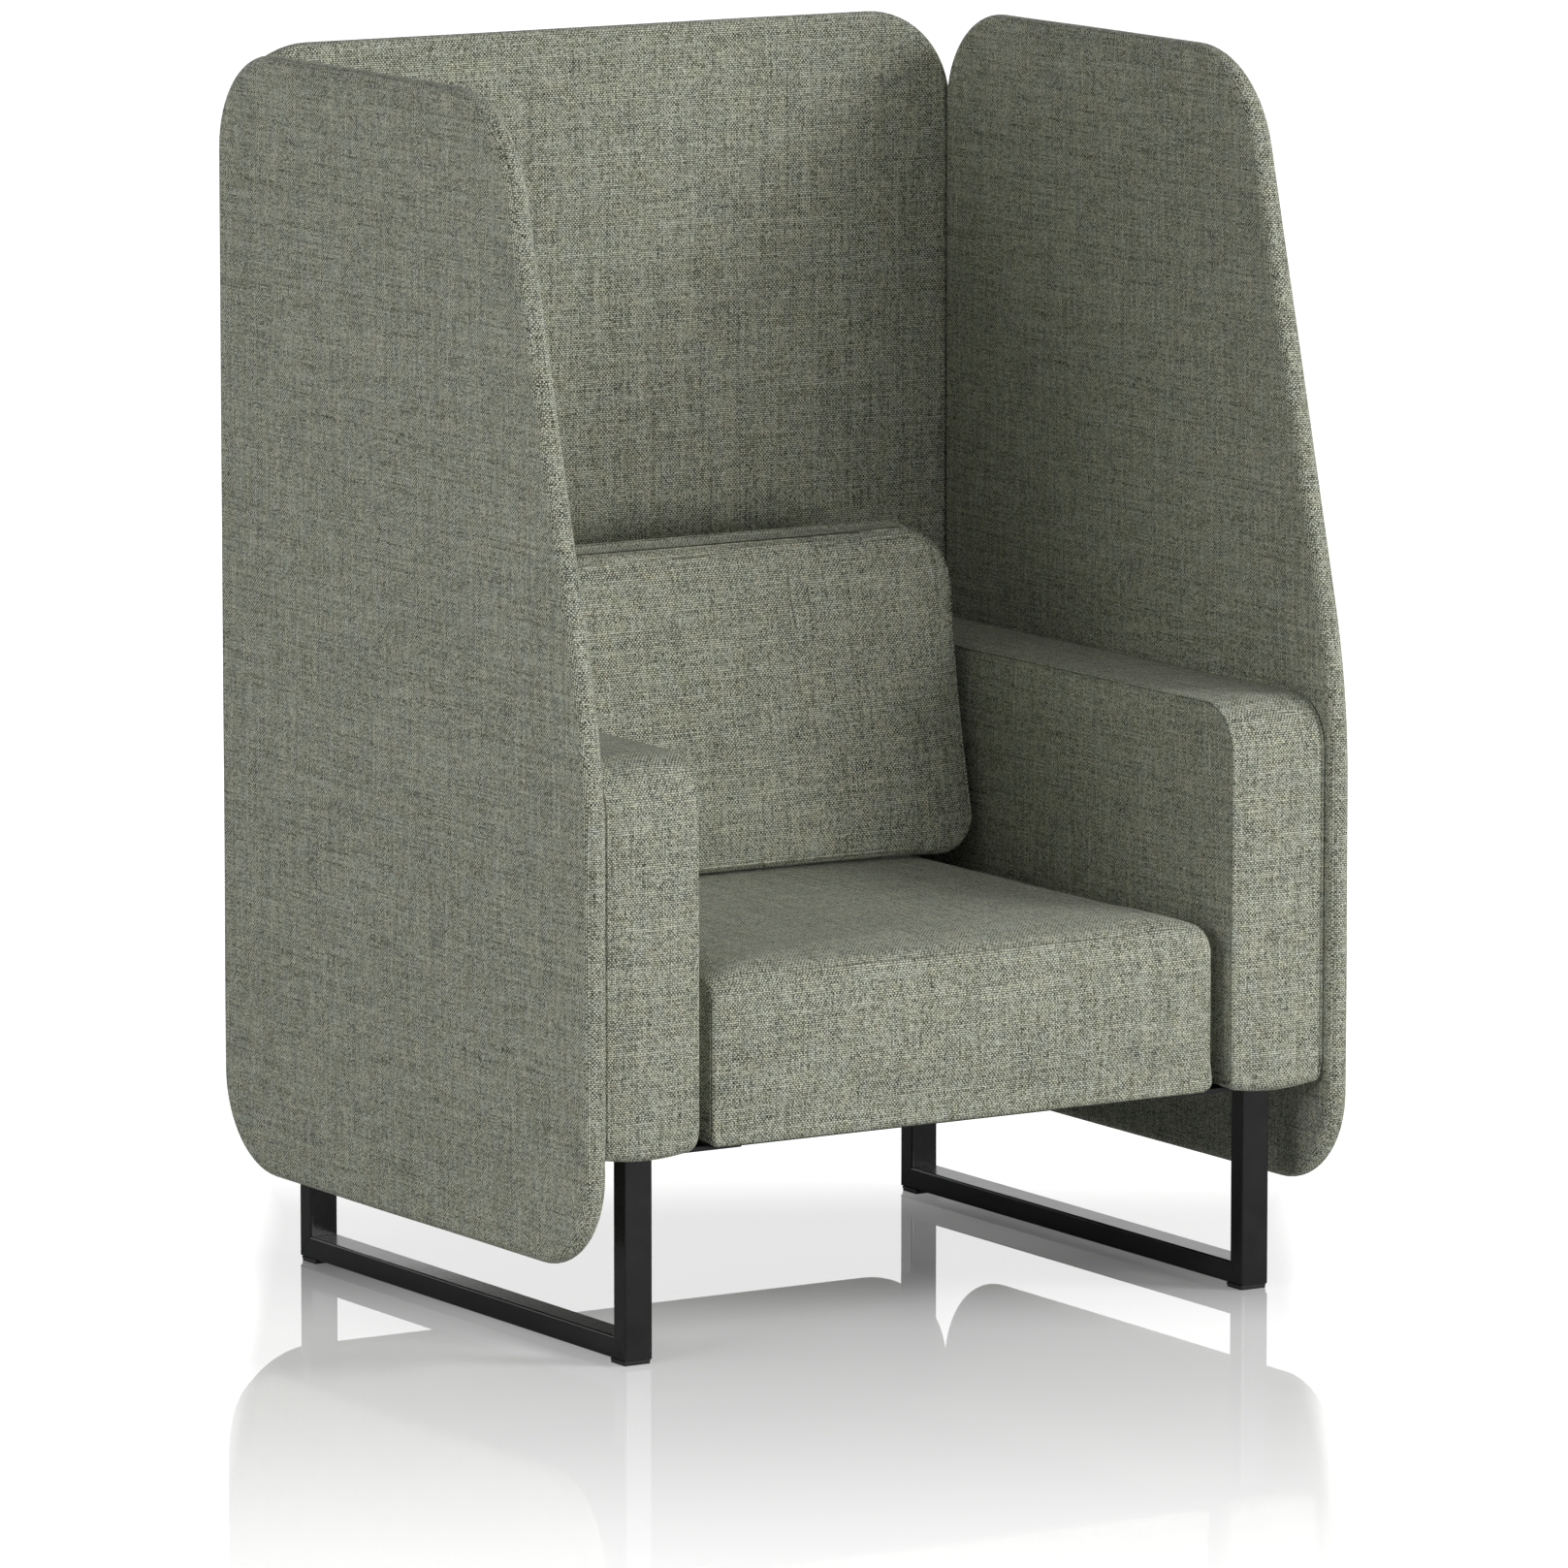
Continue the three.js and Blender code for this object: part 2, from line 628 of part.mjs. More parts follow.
const seatCavity = boxBetween(
  new THREE.Vector3(-seatFrameHalfWidth - touchGap, seatFrameFront - touchGap, seatBottom - cutOverrun),
  new THREE.Vector3(seatFrameHalfWidth + touchGap, seatFrameRear + touchGap, webbingTop + touchGap));
const postSlots = signs.map((side) => {
  const { left, right } = postCorners(side, touchGap);
  return boxBetween(
    new THREE.Vector3(left, panelFront - touchGap, webbingBottom),
    new THREE.Vector3(right, panelRear + touchGap, backrestBottom + cutOverrun));
});
const seatLevels = edgeLevels(seatBottomEdgeRadius, seatEdgeRadius, seatHeight);
const seatForm = softForm(seatCorners, seatLevels, 0, seatCrown, seatSideDraw, placeSeatPoint);
addPiece('seat_cushion', cutAway(seatForm, [seatCavity, ...postSlots]), fabricLight);

const seatFrameCorners = boxCorners(
  -seatFrameHalfWidth, seatFrameHalfWidth, seatFrameFront, seatFrameRear, minimumRadius);
const seatFrameHole = boxCorners(
  -seatFrameHalfWidth + seatFrameRailWidth, seatFrameHalfWidth - seatFrameRailWidth,
  seatFrameFront + seatFrameRailWidth, seatFrameRear - seatFrameRailWidth, minimumRadius);
const seatFrame = prism(seatFrameCorners, seatFrameHeight, alongZ, [seatFrameHole]);
seatFrame.translate(0, 0, seatBottom + seatFrameHeight / 2);
addPiece('seat_frame', cutAway(seatFrame, seatBoltHoles), timberMaterial);

// Gaps between straps of equal pitch, with one more gap before the first and after the last
function gapsBetweenStraps(start, end, count) {
  const gap = (end - start - count * webbingWidth) / count;
  const gaps = [];
  for (let strap = 0; strap <= count; strap += 1) {
    const far = start + gap / 2 + strap * (webbingWidth + gap);
    const low = strap === 0 ? start - cutOverrun : far - gap;
    const high = strap === count ? end + cutOverrun : far;
    gaps.push({ low, high });
  }
  return gaps;
}

function webbingGeometry() {
  const halfWidth = seatFrameHalfWidth - webbingEndMargin;
  const front = seatFrameFront + webbingEndMargin;
  const rear = panelFront - webbingEndMargin;
  const sheet = boxBetween(
    new THREE.Vector3(-halfWidth, front, webbingBottom), new THREE.Vector3(halfWidth, rear, webbingTop));
  const gapsInX = gapsBetweenStraps(-halfWidth, halfWidth, webbingStrapsAlong);
  const gapsInY = gapsBetweenStraps(front, rear, webbingStrapsAcross);
  const cutters = gapsInX.flatMap((gapX) => gapsInY.map((gapY) => boxBetween(
    new THREE.Vector3(gapX.low, gapY.low, webbingBottom - cutOverrun),
    new THREE.Vector3(gapX.high, gapY.high, webbingTop + cutOverrun))));
  return cutAway(sheet, cutters);
}
addPiece('seat_webbing', webbingGeometry(), webbingMaterial);

const dustCover = prism(insetCorners(seatCorners, seatDustCoverInset), seatDustCoverThickness, alongZ);
dustCover.translate(0, 0, dustCoverBottom + seatDustCoverThickness / 2);
addPiece('seat_dust_cover', cutAway(dustCover, seatBoltHoles), clothMaterial);

// Backrest
const backHoles = signs.map((side) => backBoltHole(side));
const counterbores = signs.map((side) => {
  const start = new THREE.Vector3(side * backBoltX, panelFront - cutOverrun, backBoltHeight);
  const end = new THREE.Vector3(side * backBoltX, panelFront + counterboreDepth, backBoltHeight);
  return rod(start, end, counterboreRadius);
});

function backrestPanel() {
  const postInner = panelHalfWidth - backrestPostWidth;
  const shape = new THREE.Shape([
    new THREE.Vector2(-panelHalfWidth, webbingBottom),
    new THREE.Vector2(-postInner, webbingBottom),
    new THREE.Vector2(-postInner, backrestBottom + touchGap),
    new THREE.Vector2(postInner, backrestBottom + touchGap),
    new THREE.Vector2(postInner, webbingBottom),
    new THREE.Vector2(panelHalfWidth, webbingBottom),
    new THREE.Vector2(panelHalfWidth, panelTop),
    new THREE.Vector2(-panelHalfWidth, panelTop),
  ]);
  const geometry = raise(shape, backrestPanelThickness).applyMatrix4(alongMinusY);
  geometry.translate(0, (panelFront + panelRear) / 2, 0);
  return cutAway(geometry, [...backHoles, ...counterbores]);
}
addPiece('backrest_panel', backrestPanel(), timberMaterial);

const backrestCorners = boxCorners(
  -seatWidth / 2, seatWidth / 2, backrestBottom, backrestTop, backrestCornerRadius);
const backrestForm = roundedSlab(backrestCorners, backrestThickness, backrestEdgeRadius, alongMinusY);
backrestForm.translate(0, bodyRear - backrestThickness / 2, 0);
const panelCavity = boxBetween(
  new THREE.Vector3(-panelHalfWidth - touchGap, panelFront - touchGap, backrestBottom - cutOverrun),
  new THREE.Vector3(panelHalfWidth + touchGap, panelRear + touchGap, panelTop + touchGap));
addPiece('backrest_block', cutAway(backrestForm, [panelCavity, ...backHoles]), fabricDark);

// The cushion's front face leans back, so its depth shrinks towards the top
const cushionCorners = [
  { x: -cushionWidth / 2, y: cushionBottom, r: cushionBottomRadius },
  { x: cushionWidth / 2, y: cushionBottom, r: cushionBottomRadius },
  { x: cushionWidth / 2, y: cushionTop, r: cushionTopRadius },
  { x: -cushionWidth / 2, y: cushionTop, r: cushionTopRadius },
];
function placeCushionPoint(x, y, rise, swell) {
  const heightShare = (y - cushionBottom) / (cushionTop - cushionBottom);
  const depth = THREE.MathUtils.lerp(cushionBottomDepth, cushionTopDepth, heightShare);
  const reach = rise <= cushionEdgeRadius ? rise : depth - (cushionBottomDepth - rise);
  return new THREE.Vector3(x, cushionRear - reach - swell, y);
}
const cushionForm = softForm(
  cushionCorners, edgeLevels(cushionEdgeRadius, cushionEdgeRadius, cushionBottomDepth),
  0, cushionCrown, cushionSideDraw, placeCushionPoint);
addPiece('back_cushion', cushionForm, fabricLight);

// Sled frames. Each tube is built as the bottom rail and turned round the frame. The share at
// each end is one where that end is mitred and zero where it is square.
function sledTube(length, reach, nearMitreShare, farMitreShare, holes) {
  const section = boxCorners(-tubeWidth / 2, tubeWidth / 2, -tubeDepth / 2, tubeDepth / 2, tubeCornerRadius);
  const bore = insetCorners(section, tubeWall);
  const shape = new THREE.Shape(outlinePoints(section));
  shape.holes.push(new THREE.Path(outlinePoints(bore)));
  const tube = raise(shape, length + 2 * cutOverrun).rotateX(-Math.PI / 2);
  const halfKeep = tubeDepth / 2 + cutOverrun;
  const near = -length / 2 + nearMitreShare * (mitreGap / 2 + tubeDepth / 2);
  const far = length / 2 - farMitreShare * (mitreGap / 2 + tubeDepth / 2);
  const mitred = new THREE.Shape([
    new THREE.Vector2(near - nearMitreShare * halfKeep, -halfKeep),
    new THREE.Vector2(far + farMitreShare * halfKeep, -halfKeep),
    new THREE.Vector2(far - farMitreShare * halfKeep, halfKeep),
    new THREE.Vector2(near + nearMitreShare * halfKeep, halfKeep),
  ]);
  const keep = raise(mitred, tubeWidth + 2 * cutOverrun).applyMatrix4(alongX);
  let solid = toSolid(tube).intersect(toSolid(keep));
  for (const hole of holes) {
    solid = solid.subtract(toSolid(hole));
  }
  return toGeometry(solid).translate(0, 0, -reach + tubeDepth / 2);
}

function uprightRod(y, low, high, radius) {
  return rod(new THREE.Vector3(0, y, low), new THREE.Vector3(0, y, high), radius);
}

const railFloor = -tubeDepth / 2;
const pegHoles = signs.map((end) => uprightRod(
  end * glideReach, railFloor - cutOverrun, railFloor + tubeWall + cutOverrun, glidePegRadius + touchGap));
const sledTubes = [
  { name: 'bottom_rail', turns: 0, length: sledDepth, reach: sledHeight / 2, nearShare: 1, farShare: 1 },
  { name: 'rear_leg', turns: 1, length: sledHeight, reach: sledDepth / 2, nearShare: 1, farShare: 0 },
  { name: 'front_leg', turns: 3, length: sledHeight, reach: sledDepth / 2, nearShare: 0, farShare: 1 },
];
for (const side of signs) {
  const sled = new THREE.Group();
  sled.position.set(side * sledMiddleX, sledMiddleY, sledMiddleZ);
  chair.add(sled);
  for (const tube of sledTubes) {
    const holes = tube.name === 'bottom_rail' ? pegHoles : [];
    const geometry = sledTube(tube.length, tube.reach, tube.nearShare, tube.farShare, holes);
    const piece = addPiece(`${sideNames[side]}_sled_${tube.name}`, geometry, steelMaterial, sled);
    piece.rotation.x = (tube.turns * Math.PI) / 2;
  }
}

// Glides: a cap with a peg in the rail, and a softer sole that meets the floor
const glideCorners = boxCorners(
  -glideWidth / 2, glideWidth / 2, -glideDepth / 2, glideDepth / 2, glideCornerRadius);
function glideCap() {
  const flange = prism(glideCorners, glideCapThickness, alongZ);
  const peg = uprightRod(0, 0, glideCapThickness / 2 + touchGap + glidePegLength, glidePegRadius);
  return toGeometry(toSolid(flange).add(toSolid(peg)));
}
for (const side of signs) {
  for (const end of signs) {
    const name = `${sideNames[side]}_${endNames[end]}`;
    const x = side * sledMiddleX;
    const y = sledMiddleY + end * glideReach;
    const capMiddle = glideHeight - glideCapThickness / 2;
    addPiece(`${name}_glide_cap`, glideCap(), glideMaterial).position.set(x, y, capMiddle);
    const sole = prism(insetCorners(glideCorners, glideSoleInset), glideSoleThickness, alongZ);
    addPiece(`${name}_glide_sole`, sole, soleMaterial).position.set(x, y, glideSoleThickness / 2);
  }
}

// Mounting plates and the bolts that hold the modules together
function mountingPlate(side, end) {
  const y = sledMiddleY + end * plateReach;
  const left = side > 0 ? plateInnerReach : -plateOuterReach;
  const right = side > 0 ? plateOuterReach : -plateInnerReach;
  const corners = boxCorners(left, right, y - plateDepth / 2, y + plateDepth / 2, plateCornerRadius);
  const plate = prism(corners, plateThickness, alongZ).translate(0, 0, (plateTop + plateBottom) / 2);
  return cutAway(plate, [armBoltHole(side, end), seatBoltHole(side, end)]);
}

const plateHeadSeat = plateBottom - touchGap;
const armBoltLength = armBottom + armBandThickness + touchGap + boltBiteInTimber - plateHeadSeat;
const seatBoltLength = seatBottom + boltBiteInTimber - plateHeadSeat;
const screenHeadSeat = armPanelInnerX - touchGap;
const screenBoltLength = sideScreenMiddle - screenBoardThickness / 2 + boltBiteInBoard - screenHeadSeat;
const backHeadSeat = panelFront + counterboreDepth - touchGap;
const backBoltLength = backScreenMiddle - screenBoardThickness / 2 + boltBiteInBoard - backHeadSeat;

for (const side of signs) {
  for (const end of signs) {
    const name = `${sideNames[side]}_${endNames[end]}`;
    addPiece(`${name}_mounting_plate`, mountingPlate(side, end), steelMaterial);
    const armBolt = addPiece(`${name}_arm_bolt`, boltGeometry(armBoltLength), boltMaterial);
    armBolt.position.set(side * sledMiddleX, sledMiddleY + end * armBoltReach, plateHeadSeat);
    const seatBolt = addPiece(`${name}_seat_bolt`, boltGeometry(seatBoltLength), boltMaterial);
    seatBolt.position.set(side * seatBoltX, sledMiddleY + end * plateReach, plateHeadSeat);
    const screenBolt = addPiece(`${name}_screen_bolt`, boltGeometry(screenBoltLength), boltMaterial);
    screenBolt.rotation.y = (side * Math.PI) / 2;
    screenBolt.position.set(side * screenHeadSeat, armMiddleY + end * screenBoltReach, screenBoltHeight);
  }
  const backBoltName = `${sideNames[side]}_back_screen_bolt`;
  const backBolt = addPiece(backBoltName, boltGeometry(backBoltLength), boltMaterial);
  backBolt.rotation.x = -Math.PI / 2;
  backBolt.position.set(side * backBoltX, backHeadSeat, backBoltHeight);
}

export default chair;
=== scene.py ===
import json
import math

import bmesh
import bpy
import numpy as np
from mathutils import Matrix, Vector, noise
from mathutils.bvhtree import BVHTree
from mathutils.kdtree import KDTree


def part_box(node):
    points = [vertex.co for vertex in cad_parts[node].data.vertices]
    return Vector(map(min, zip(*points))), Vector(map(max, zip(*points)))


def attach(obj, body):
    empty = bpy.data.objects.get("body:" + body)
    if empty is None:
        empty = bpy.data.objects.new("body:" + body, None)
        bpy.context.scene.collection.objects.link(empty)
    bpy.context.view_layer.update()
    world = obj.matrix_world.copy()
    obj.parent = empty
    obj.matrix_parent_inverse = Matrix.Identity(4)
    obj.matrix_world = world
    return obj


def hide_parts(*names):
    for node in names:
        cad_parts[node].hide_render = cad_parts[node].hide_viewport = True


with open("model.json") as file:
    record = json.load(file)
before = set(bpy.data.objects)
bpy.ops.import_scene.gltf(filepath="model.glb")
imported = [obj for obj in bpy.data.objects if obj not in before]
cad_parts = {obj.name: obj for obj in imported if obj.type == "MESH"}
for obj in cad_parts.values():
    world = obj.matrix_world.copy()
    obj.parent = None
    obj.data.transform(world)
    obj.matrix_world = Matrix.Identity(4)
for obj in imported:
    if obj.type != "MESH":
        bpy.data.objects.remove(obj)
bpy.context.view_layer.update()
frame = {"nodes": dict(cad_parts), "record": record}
NODES = frame["nodes"]
SIDES = {"left": -1, "right": 1}

# Camera, solved from the photo
CAMERA_PLACE = Vector((-7.0384, -11.3655, 2.6281))
CAMERA_TARGET = Vector((0.0028, -0.0102, 0.5581))
CAMERA_LENS = 277.34
CAMERA_SENSOR = 36.0

# Screens
SCREEN_EDGE = 0.0129
SCREEN_CORNER = 0.111
SCREEN_FRONT_TOP = 0.142
SCREEN_KNEE = 0.79
SCREEN_KNEE_HEIGHT = 0.674
SCREEN_TOP_SETBACK = 0.187
SCREEN_CROWN = 0.0009
SCREEN_WAVE = 0.0005
SCREEN_WAVE_PERIOD = 0.22

# Arms
ARM_FRONT_RADIUS = 0.058
ARM_REAR_RADIUS = 0.02
ARM_BOTTOM_RADIUS = 0.013
ARM_TOP_EDGE = 0.0036
ARM_BOTTOM_EDGE = 0.012
ARM_SEAM_DEPTH = 0.005
ARM_OUTER_SEAM_DEPTH = 0.0075
ARM_OUTER_SEAM_INSET = 0.0048
ARM_SEAM_HALF_WIDTH = 0.0009
ARM_CROWN = 0.0022
ARM_PANEL_PUFF = 0.0028
ARM_SAG = 0.0035
ARM_SAG_REACH = (0.005, 0.03)
ARM_SAG_HEIGHT = 0.05
ARM_BACKING = 0.009
ARM_BACKING_REACH = 0.02
ARM_BACKING_SHARES = (0.35, 0.7)
ARM_SEAM_ANGLE = math.radians(70)
ARM_SEAM_LIP_ANGLE = math.radians(9)
ARM_STATIONS = 15
ARM_FACE_INSETS = (0.008, 0.02, 0.04, 0.07, 0.1, 0.13, 0.16)
ARM_FACE_EDGE = 0.008
ARM_FACE_REACH = 0.2
ARM_PANEL_PUFF_REACH = 0.05

# Seat block
SEAT_FRONT_TOP = 0.03
SEAT_REAR_EDGE = 0.012
SEAT_BOTTOM_EDGE = 0.0085
SEAT_SIDE_EDGE = 0.007
SEAT_SIDE_PUFF = 0.0015
SEAT_UNDERSIDE = 0.0008
SEAT_FRONT_LIP = 0.0024
SEAT_FRONT_LIP_REACH = 0.012
SEAT_LOW_CORNER = 0.009
SEAT_LOW_CORNER_REACH = 0.016
SEAT_LOW_CORNER_RISE = 0.25
SEAT_LIP_RISE = 0.3
SEAT_CROWN_FROM = 0.2
SEAT_SEAM_ANGLE = math.radians(62)
SEAT_SEAM_DEPTH = 0.0018
SEAT_SEAM_HALF_WIDTH = 0.0009
SEAT_CROWN = 0.006
SEAT_SIDE_DROP = 0.013
SEAT_SIDE_DROP_REACH = 0.075
SEAT_FRONT_BULGE = 0.0025
SEAT_PANEL_INSETS = (0.03, 0.02, 0.012)
SEAT_STATIONS = (0.006, 0.014, 0.024, 0.036, 0.05, 0.066, 0.084)
SEAT_STATIONS_BETWEEN = 32
SEAT_FLAT_HEIGHT = 0.004

# Backrest and back cushion
BLOCK_CORNER = 0.04
BLOCK_EDGE = 0.02
BLOCK_CROWN = 0.002
BLOCK_FACE_INSETS = (0.006, 0.014)
BLOCK_WAVE = 0.0015
BLOCK_WAVE_PERIOD = 0.16
BLOCK_WAVE_SEED = 7
CUSHION_TOP_RADIUS = 0.066
CUSHION_BOTTOM_RADIUS = 0.05
CUSHION_TOP_DEPTH = 0.054
CUSHION_BOTTOM_DEPTH = 0.125
CUSHION_EDGE = 0.006
CUSHION_FRONT_EDGE = 0.017
CUSHION_SEAM_ANGLE = math.radians(28)
CUSHION_SEAM_DEPTH = 0.0012
CUSHION_SEAM_HALF_WIDTH = 0.001
CUSHION_CROWN = 0.008
CUSHION_SIDE_DRAW = 0.002
CUSHION_SIDE_STATIONS = 10
CUSHION_FLAT_DEPTH = 0.001
WELT_RADIUS = 0.0017
WELT_FROM_SEAM = 2.2
WELT_REAR_SHARE = 0.3

# Softness
VOXEL = 0.006
PRESSURE = 4.0
SIMULATION_FRAMES = 20
CUSHION_CAP = 0.006
SEAT_CAP = 0.004
NEAR_POINTS = 10
FLAT_REACH = 0.03
CLOTH = {
    "uniform_pressure_force": PRESSURE,
    "quality": 5,
    "tension_stiffness": 40,
    "compression_stiffness": 40,
    "shear_stiffness": 20,
    "bending_stiffness": 5,
}

# Fineness of the modelled pieces
OUTLINE_STEP = 0.012
EDGE_STEPS = 8
ARC_STEP = math.radians(6)
FACE_INSETS = (0.008, 0.02, 0.035, 0.055, 0.075, 0.095)
FACE_SHARES = tuple(k / 14 for k in range(1, 14))


def smoothstep(low, high, value):
    share = np.clip((value - low) / (high - low), 0, 1)
    return share * share * (3 - 2 * share)


def rounded_outline(corners, step=OUTLINE_STEP):
    """Points and outward normals of a convex anticlockwise outline of corners (x, y, radius)."""
    arcs = []
    for i, (x, y, radius) in enumerate(corners):
        here = np.array((x, y), float)
        before = np.array(corners[i - 1][:2], float)
        after = np.array(corners[(i + 1) % len(corners)][:2], float)
        incoming = (here - before) / np.linalg.norm(here - before)
        outgoing = (after - here) / np.linalg.norm(after - here)
        turn = math.acos(np.clip(incoming @ outgoing, -1, 1))
        start = here - incoming * radius * math.tan(turn / 2)
        centre = start + radius * np.array((-incoming[1], incoming[0]))
        first = math.atan2(start[1] - centre[1], start[0] - centre[0])
        steps = max(2, math.ceil(turn / ARC_STEP), math.ceil(turn * radius / step))
        angles = first + turn * np.arange(steps + 1) / steps
        normals = np.column_stack((np.cos(angles), np.sin(angles)))
        arcs.append((centre + radius * normals, normals))
    points, normals = [], []
    for i, (arc, arc_normals) in enumerate(arcs):
        points.extend(arc)
        normals.extend(arc_normals)
        following = arcs[(i + 1) % len(arcs)][0][0]
        run = following - arc[-1]
        count = max(1, round(np.linalg.norm(run) / step))
        for k in range(1, count):
            points.append(arc[-1] + run * k / count)
            normals.append(arc_normals[-1])
    return np.array(points), np.array(normals)


def mesh_object(name, vertices, faces):
    mesh = bpy.data.meshes.new(name)
    mesh.from_pydata([tuple(v) for v in vertices], [], faces)
    mesh.validate()
    mesh.polygons.foreach_set("use_smooth", [True] * len(mesh.polygons))
    obj = bpy.data.objects.new(name, mesh)
    bpy.context.scene.collection.objects.link(obj)
    return obj


def ring_mesh(name, rings, closed_loop=False):
    """A skin over equal rings of points: capped at both ends, or joined last to first."""
    count = len(rings[0])
    vertices = [point for ring in rings for point in ring]
    pairs = [(k, k + 1) for k in range(len(rings) - 1)]
    if closed_loop:
        pairs.append((len(rings) - 1, 0))
    faces = []
    for low, high in pairs:
        for i in range(count):
            j = (i + 1) % count
            faces.append((low * count + i, low * count + j, high * count + j, high * count + i))
    if not closed_loop:
        for ring, flip in ((0, True), (len(rings) - 1, False)):
            centre = len(vertices)
            vertices.append(np.mean(rings[ring], axis=0))
            for i in range(count):
                j = (i + 1) % count
                corner = (ring * count + i, ring * count + j, centre)
                faces.append(corner[::-1] if flip else corner)
    obj = mesh_object(name, vertices, faces)
    recalculate_normals(obj)
    return obj


def recalculate_normals(obj):
    work = bmesh.new()
    work.from_mesh(obj.data)
    bmesh.ops.recalc_face_normals(work, faces=work.faces)
    work.to_mesh(obj.data)
    work.free()


def edit_points(obj, change):
    """Replace the object's points by what change makes of the array of points and normals."""
    mesh = obj.data
    points = np.zeros(len(mesh.vertices) * 3)
    mesh.vertices.foreach_get("co", points)
    normals = np.zeros(len(mesh.vertices) * 3)
    mesh.vertices.foreach_get("normal", normals)
    points = change(points.reshape(-1, 3), normals.reshape(-1, 3))
    mesh.vertices.foreach_set("co", points.ravel())
    mesh.update()


def waved(size, period, seed):
    """Soft unevenness of a filled surface, along its normals."""
    offset = Vector((seed, 2 * seed, 3 * seed))

    def change(points, normals):
        rise = np.array([noise.noise(Vector(p) / period + offset) for p in points])
        return points + normals * (size * rise)[:, None]

    return change


# Padded slabs: outline in two directions, rings over the thickness
def slab_rings(outline, normals, half, edge, crown, cap_insets, cap_shares):
    """Rings (outline points, place across the thickness) from one face, round the edge, to the other."""
    centre = outline.mean(axis=0)
    inner = outline - normals * (edge + cap_insets[-1])
    face = [(centre + (inner - centre) * share, half + crown) for share in cap_shares]
    for inset in reversed(cap_insets):
        rise = crown * smoothstep(0, cap_insets[-1], inset)
        face.append((outline - normals * (edge + inset), half + rise))
    rounding = []
    for k in range(EDGE_STEPS + 1):
        angle = math.pi / 2 * k / EDGE_STEPS
        inset = edge * (1 - math.sin(angle))
        rounding.append((outline - normals * inset, half - edge * (1 - math.cos(angle))))
    front = face + rounding
    back = [(points, -place) for points, place in reversed(front)]
    if math.isclose(half, edge):
        back = back[1:]  # a full round: both roundings end in the same ring
    return front + back


def screen_panel(name, corners, axis, middle, nodes, seed):
    outline, normals = rounded_outline(corners)
    half = SCREEN_EDGE
    rings = []
    for points, place in slab_rings(outline, normals, half, half, SCREEN_CROWN, FACE_INSETS, FACE_SHARES):
        across = np.full(len(points), middle + place)
        if axis == "x":
            rings.append(np.column_stack((across, points)))
        else:
            rings.append(np.column_stack((points[:, 0], across, points[:, 1])))
    panel = ring_mesh(name, rings)
    edit_points(panel, waved(SCREEN_WAVE, SCREEN_WAVE_PERIOD, seed))
    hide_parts(*nodes)
    return dress(panel, MATERIALS["fabric"])


def make_screens():
    low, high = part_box("left_screen_outer_pad")
    side_corners = [
        (low.y, low.z, SCREEN_CORNER),
        (high.y, low.z, SCREEN_CORNER),
        (high.y, high.z, SCREEN_CORNER),
        (low.y + SCREEN_TOP_SETBACK, high.z, SCREEN_FRONT_TOP),
        (low.y, SCREEN_KNEE_HEIGHT, SCREEN_KNEE),
    ]
    for seed, (side, sign) in enumerate(SIDES.items()):
        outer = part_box(f"{side}_screen_outer_pad")
        middle = (outer[1].x if sign > 0 else outer[0].x) - sign * SCREEN_EDGE
        nodes = (f"{side}_screen_outer_pad", f"{side}_screen_inner_pad")
        screen_panel(f"{side}_screen_upholstery", side_corners, "x", middle, nodes, seed)
    low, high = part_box("back_screen_rear_pad")
    back_corners = [
        (low.x, low.z, SCREEN_CORNER),
        (high.x, low.z, SCREEN_CORNER),
        (high.x, high.z, SCREEN_CORNER),
        (low.x, high.z, SCREEN_CORNER),
    ]
    nodes = ("back_screen_rear_pad", "back_screen_front_pad")
    screen_panel("back_screen_upholstery", back_corners, "y", high.y - SCREEN_EDGE, nodes, len(SIDES))


# Arms: a band that wraps front, top and rear, and a panel on each side, rolled into the seams
def arm_edge_radii(points, low):
    """Radius of the band's side edges, larger along the bottom."""
    share = smoothstep(low.z + 2 * ARM_BOTTOM_RADIUS, low.z, points[:, 1])
    return ARM_TOP_EDGE + (ARM_BOTTOM_EDGE - ARM_TOP_EDGE) * share


def arm_sag(points, across_share, low):
    """Droop of the band's lower front edge, most at the middle of the arm's width."""
    near, far = ARM_SAG_REACH
    from_front = smoothstep(low.y + far, low.y + near, points[:, 0])
    from_bottom = smoothstep(low.z + ARM_SAG_HEIGHT, low.z, points[:, 1])
    return ARM_SAG * from_front * from_bottom * (1 - across_share**2)


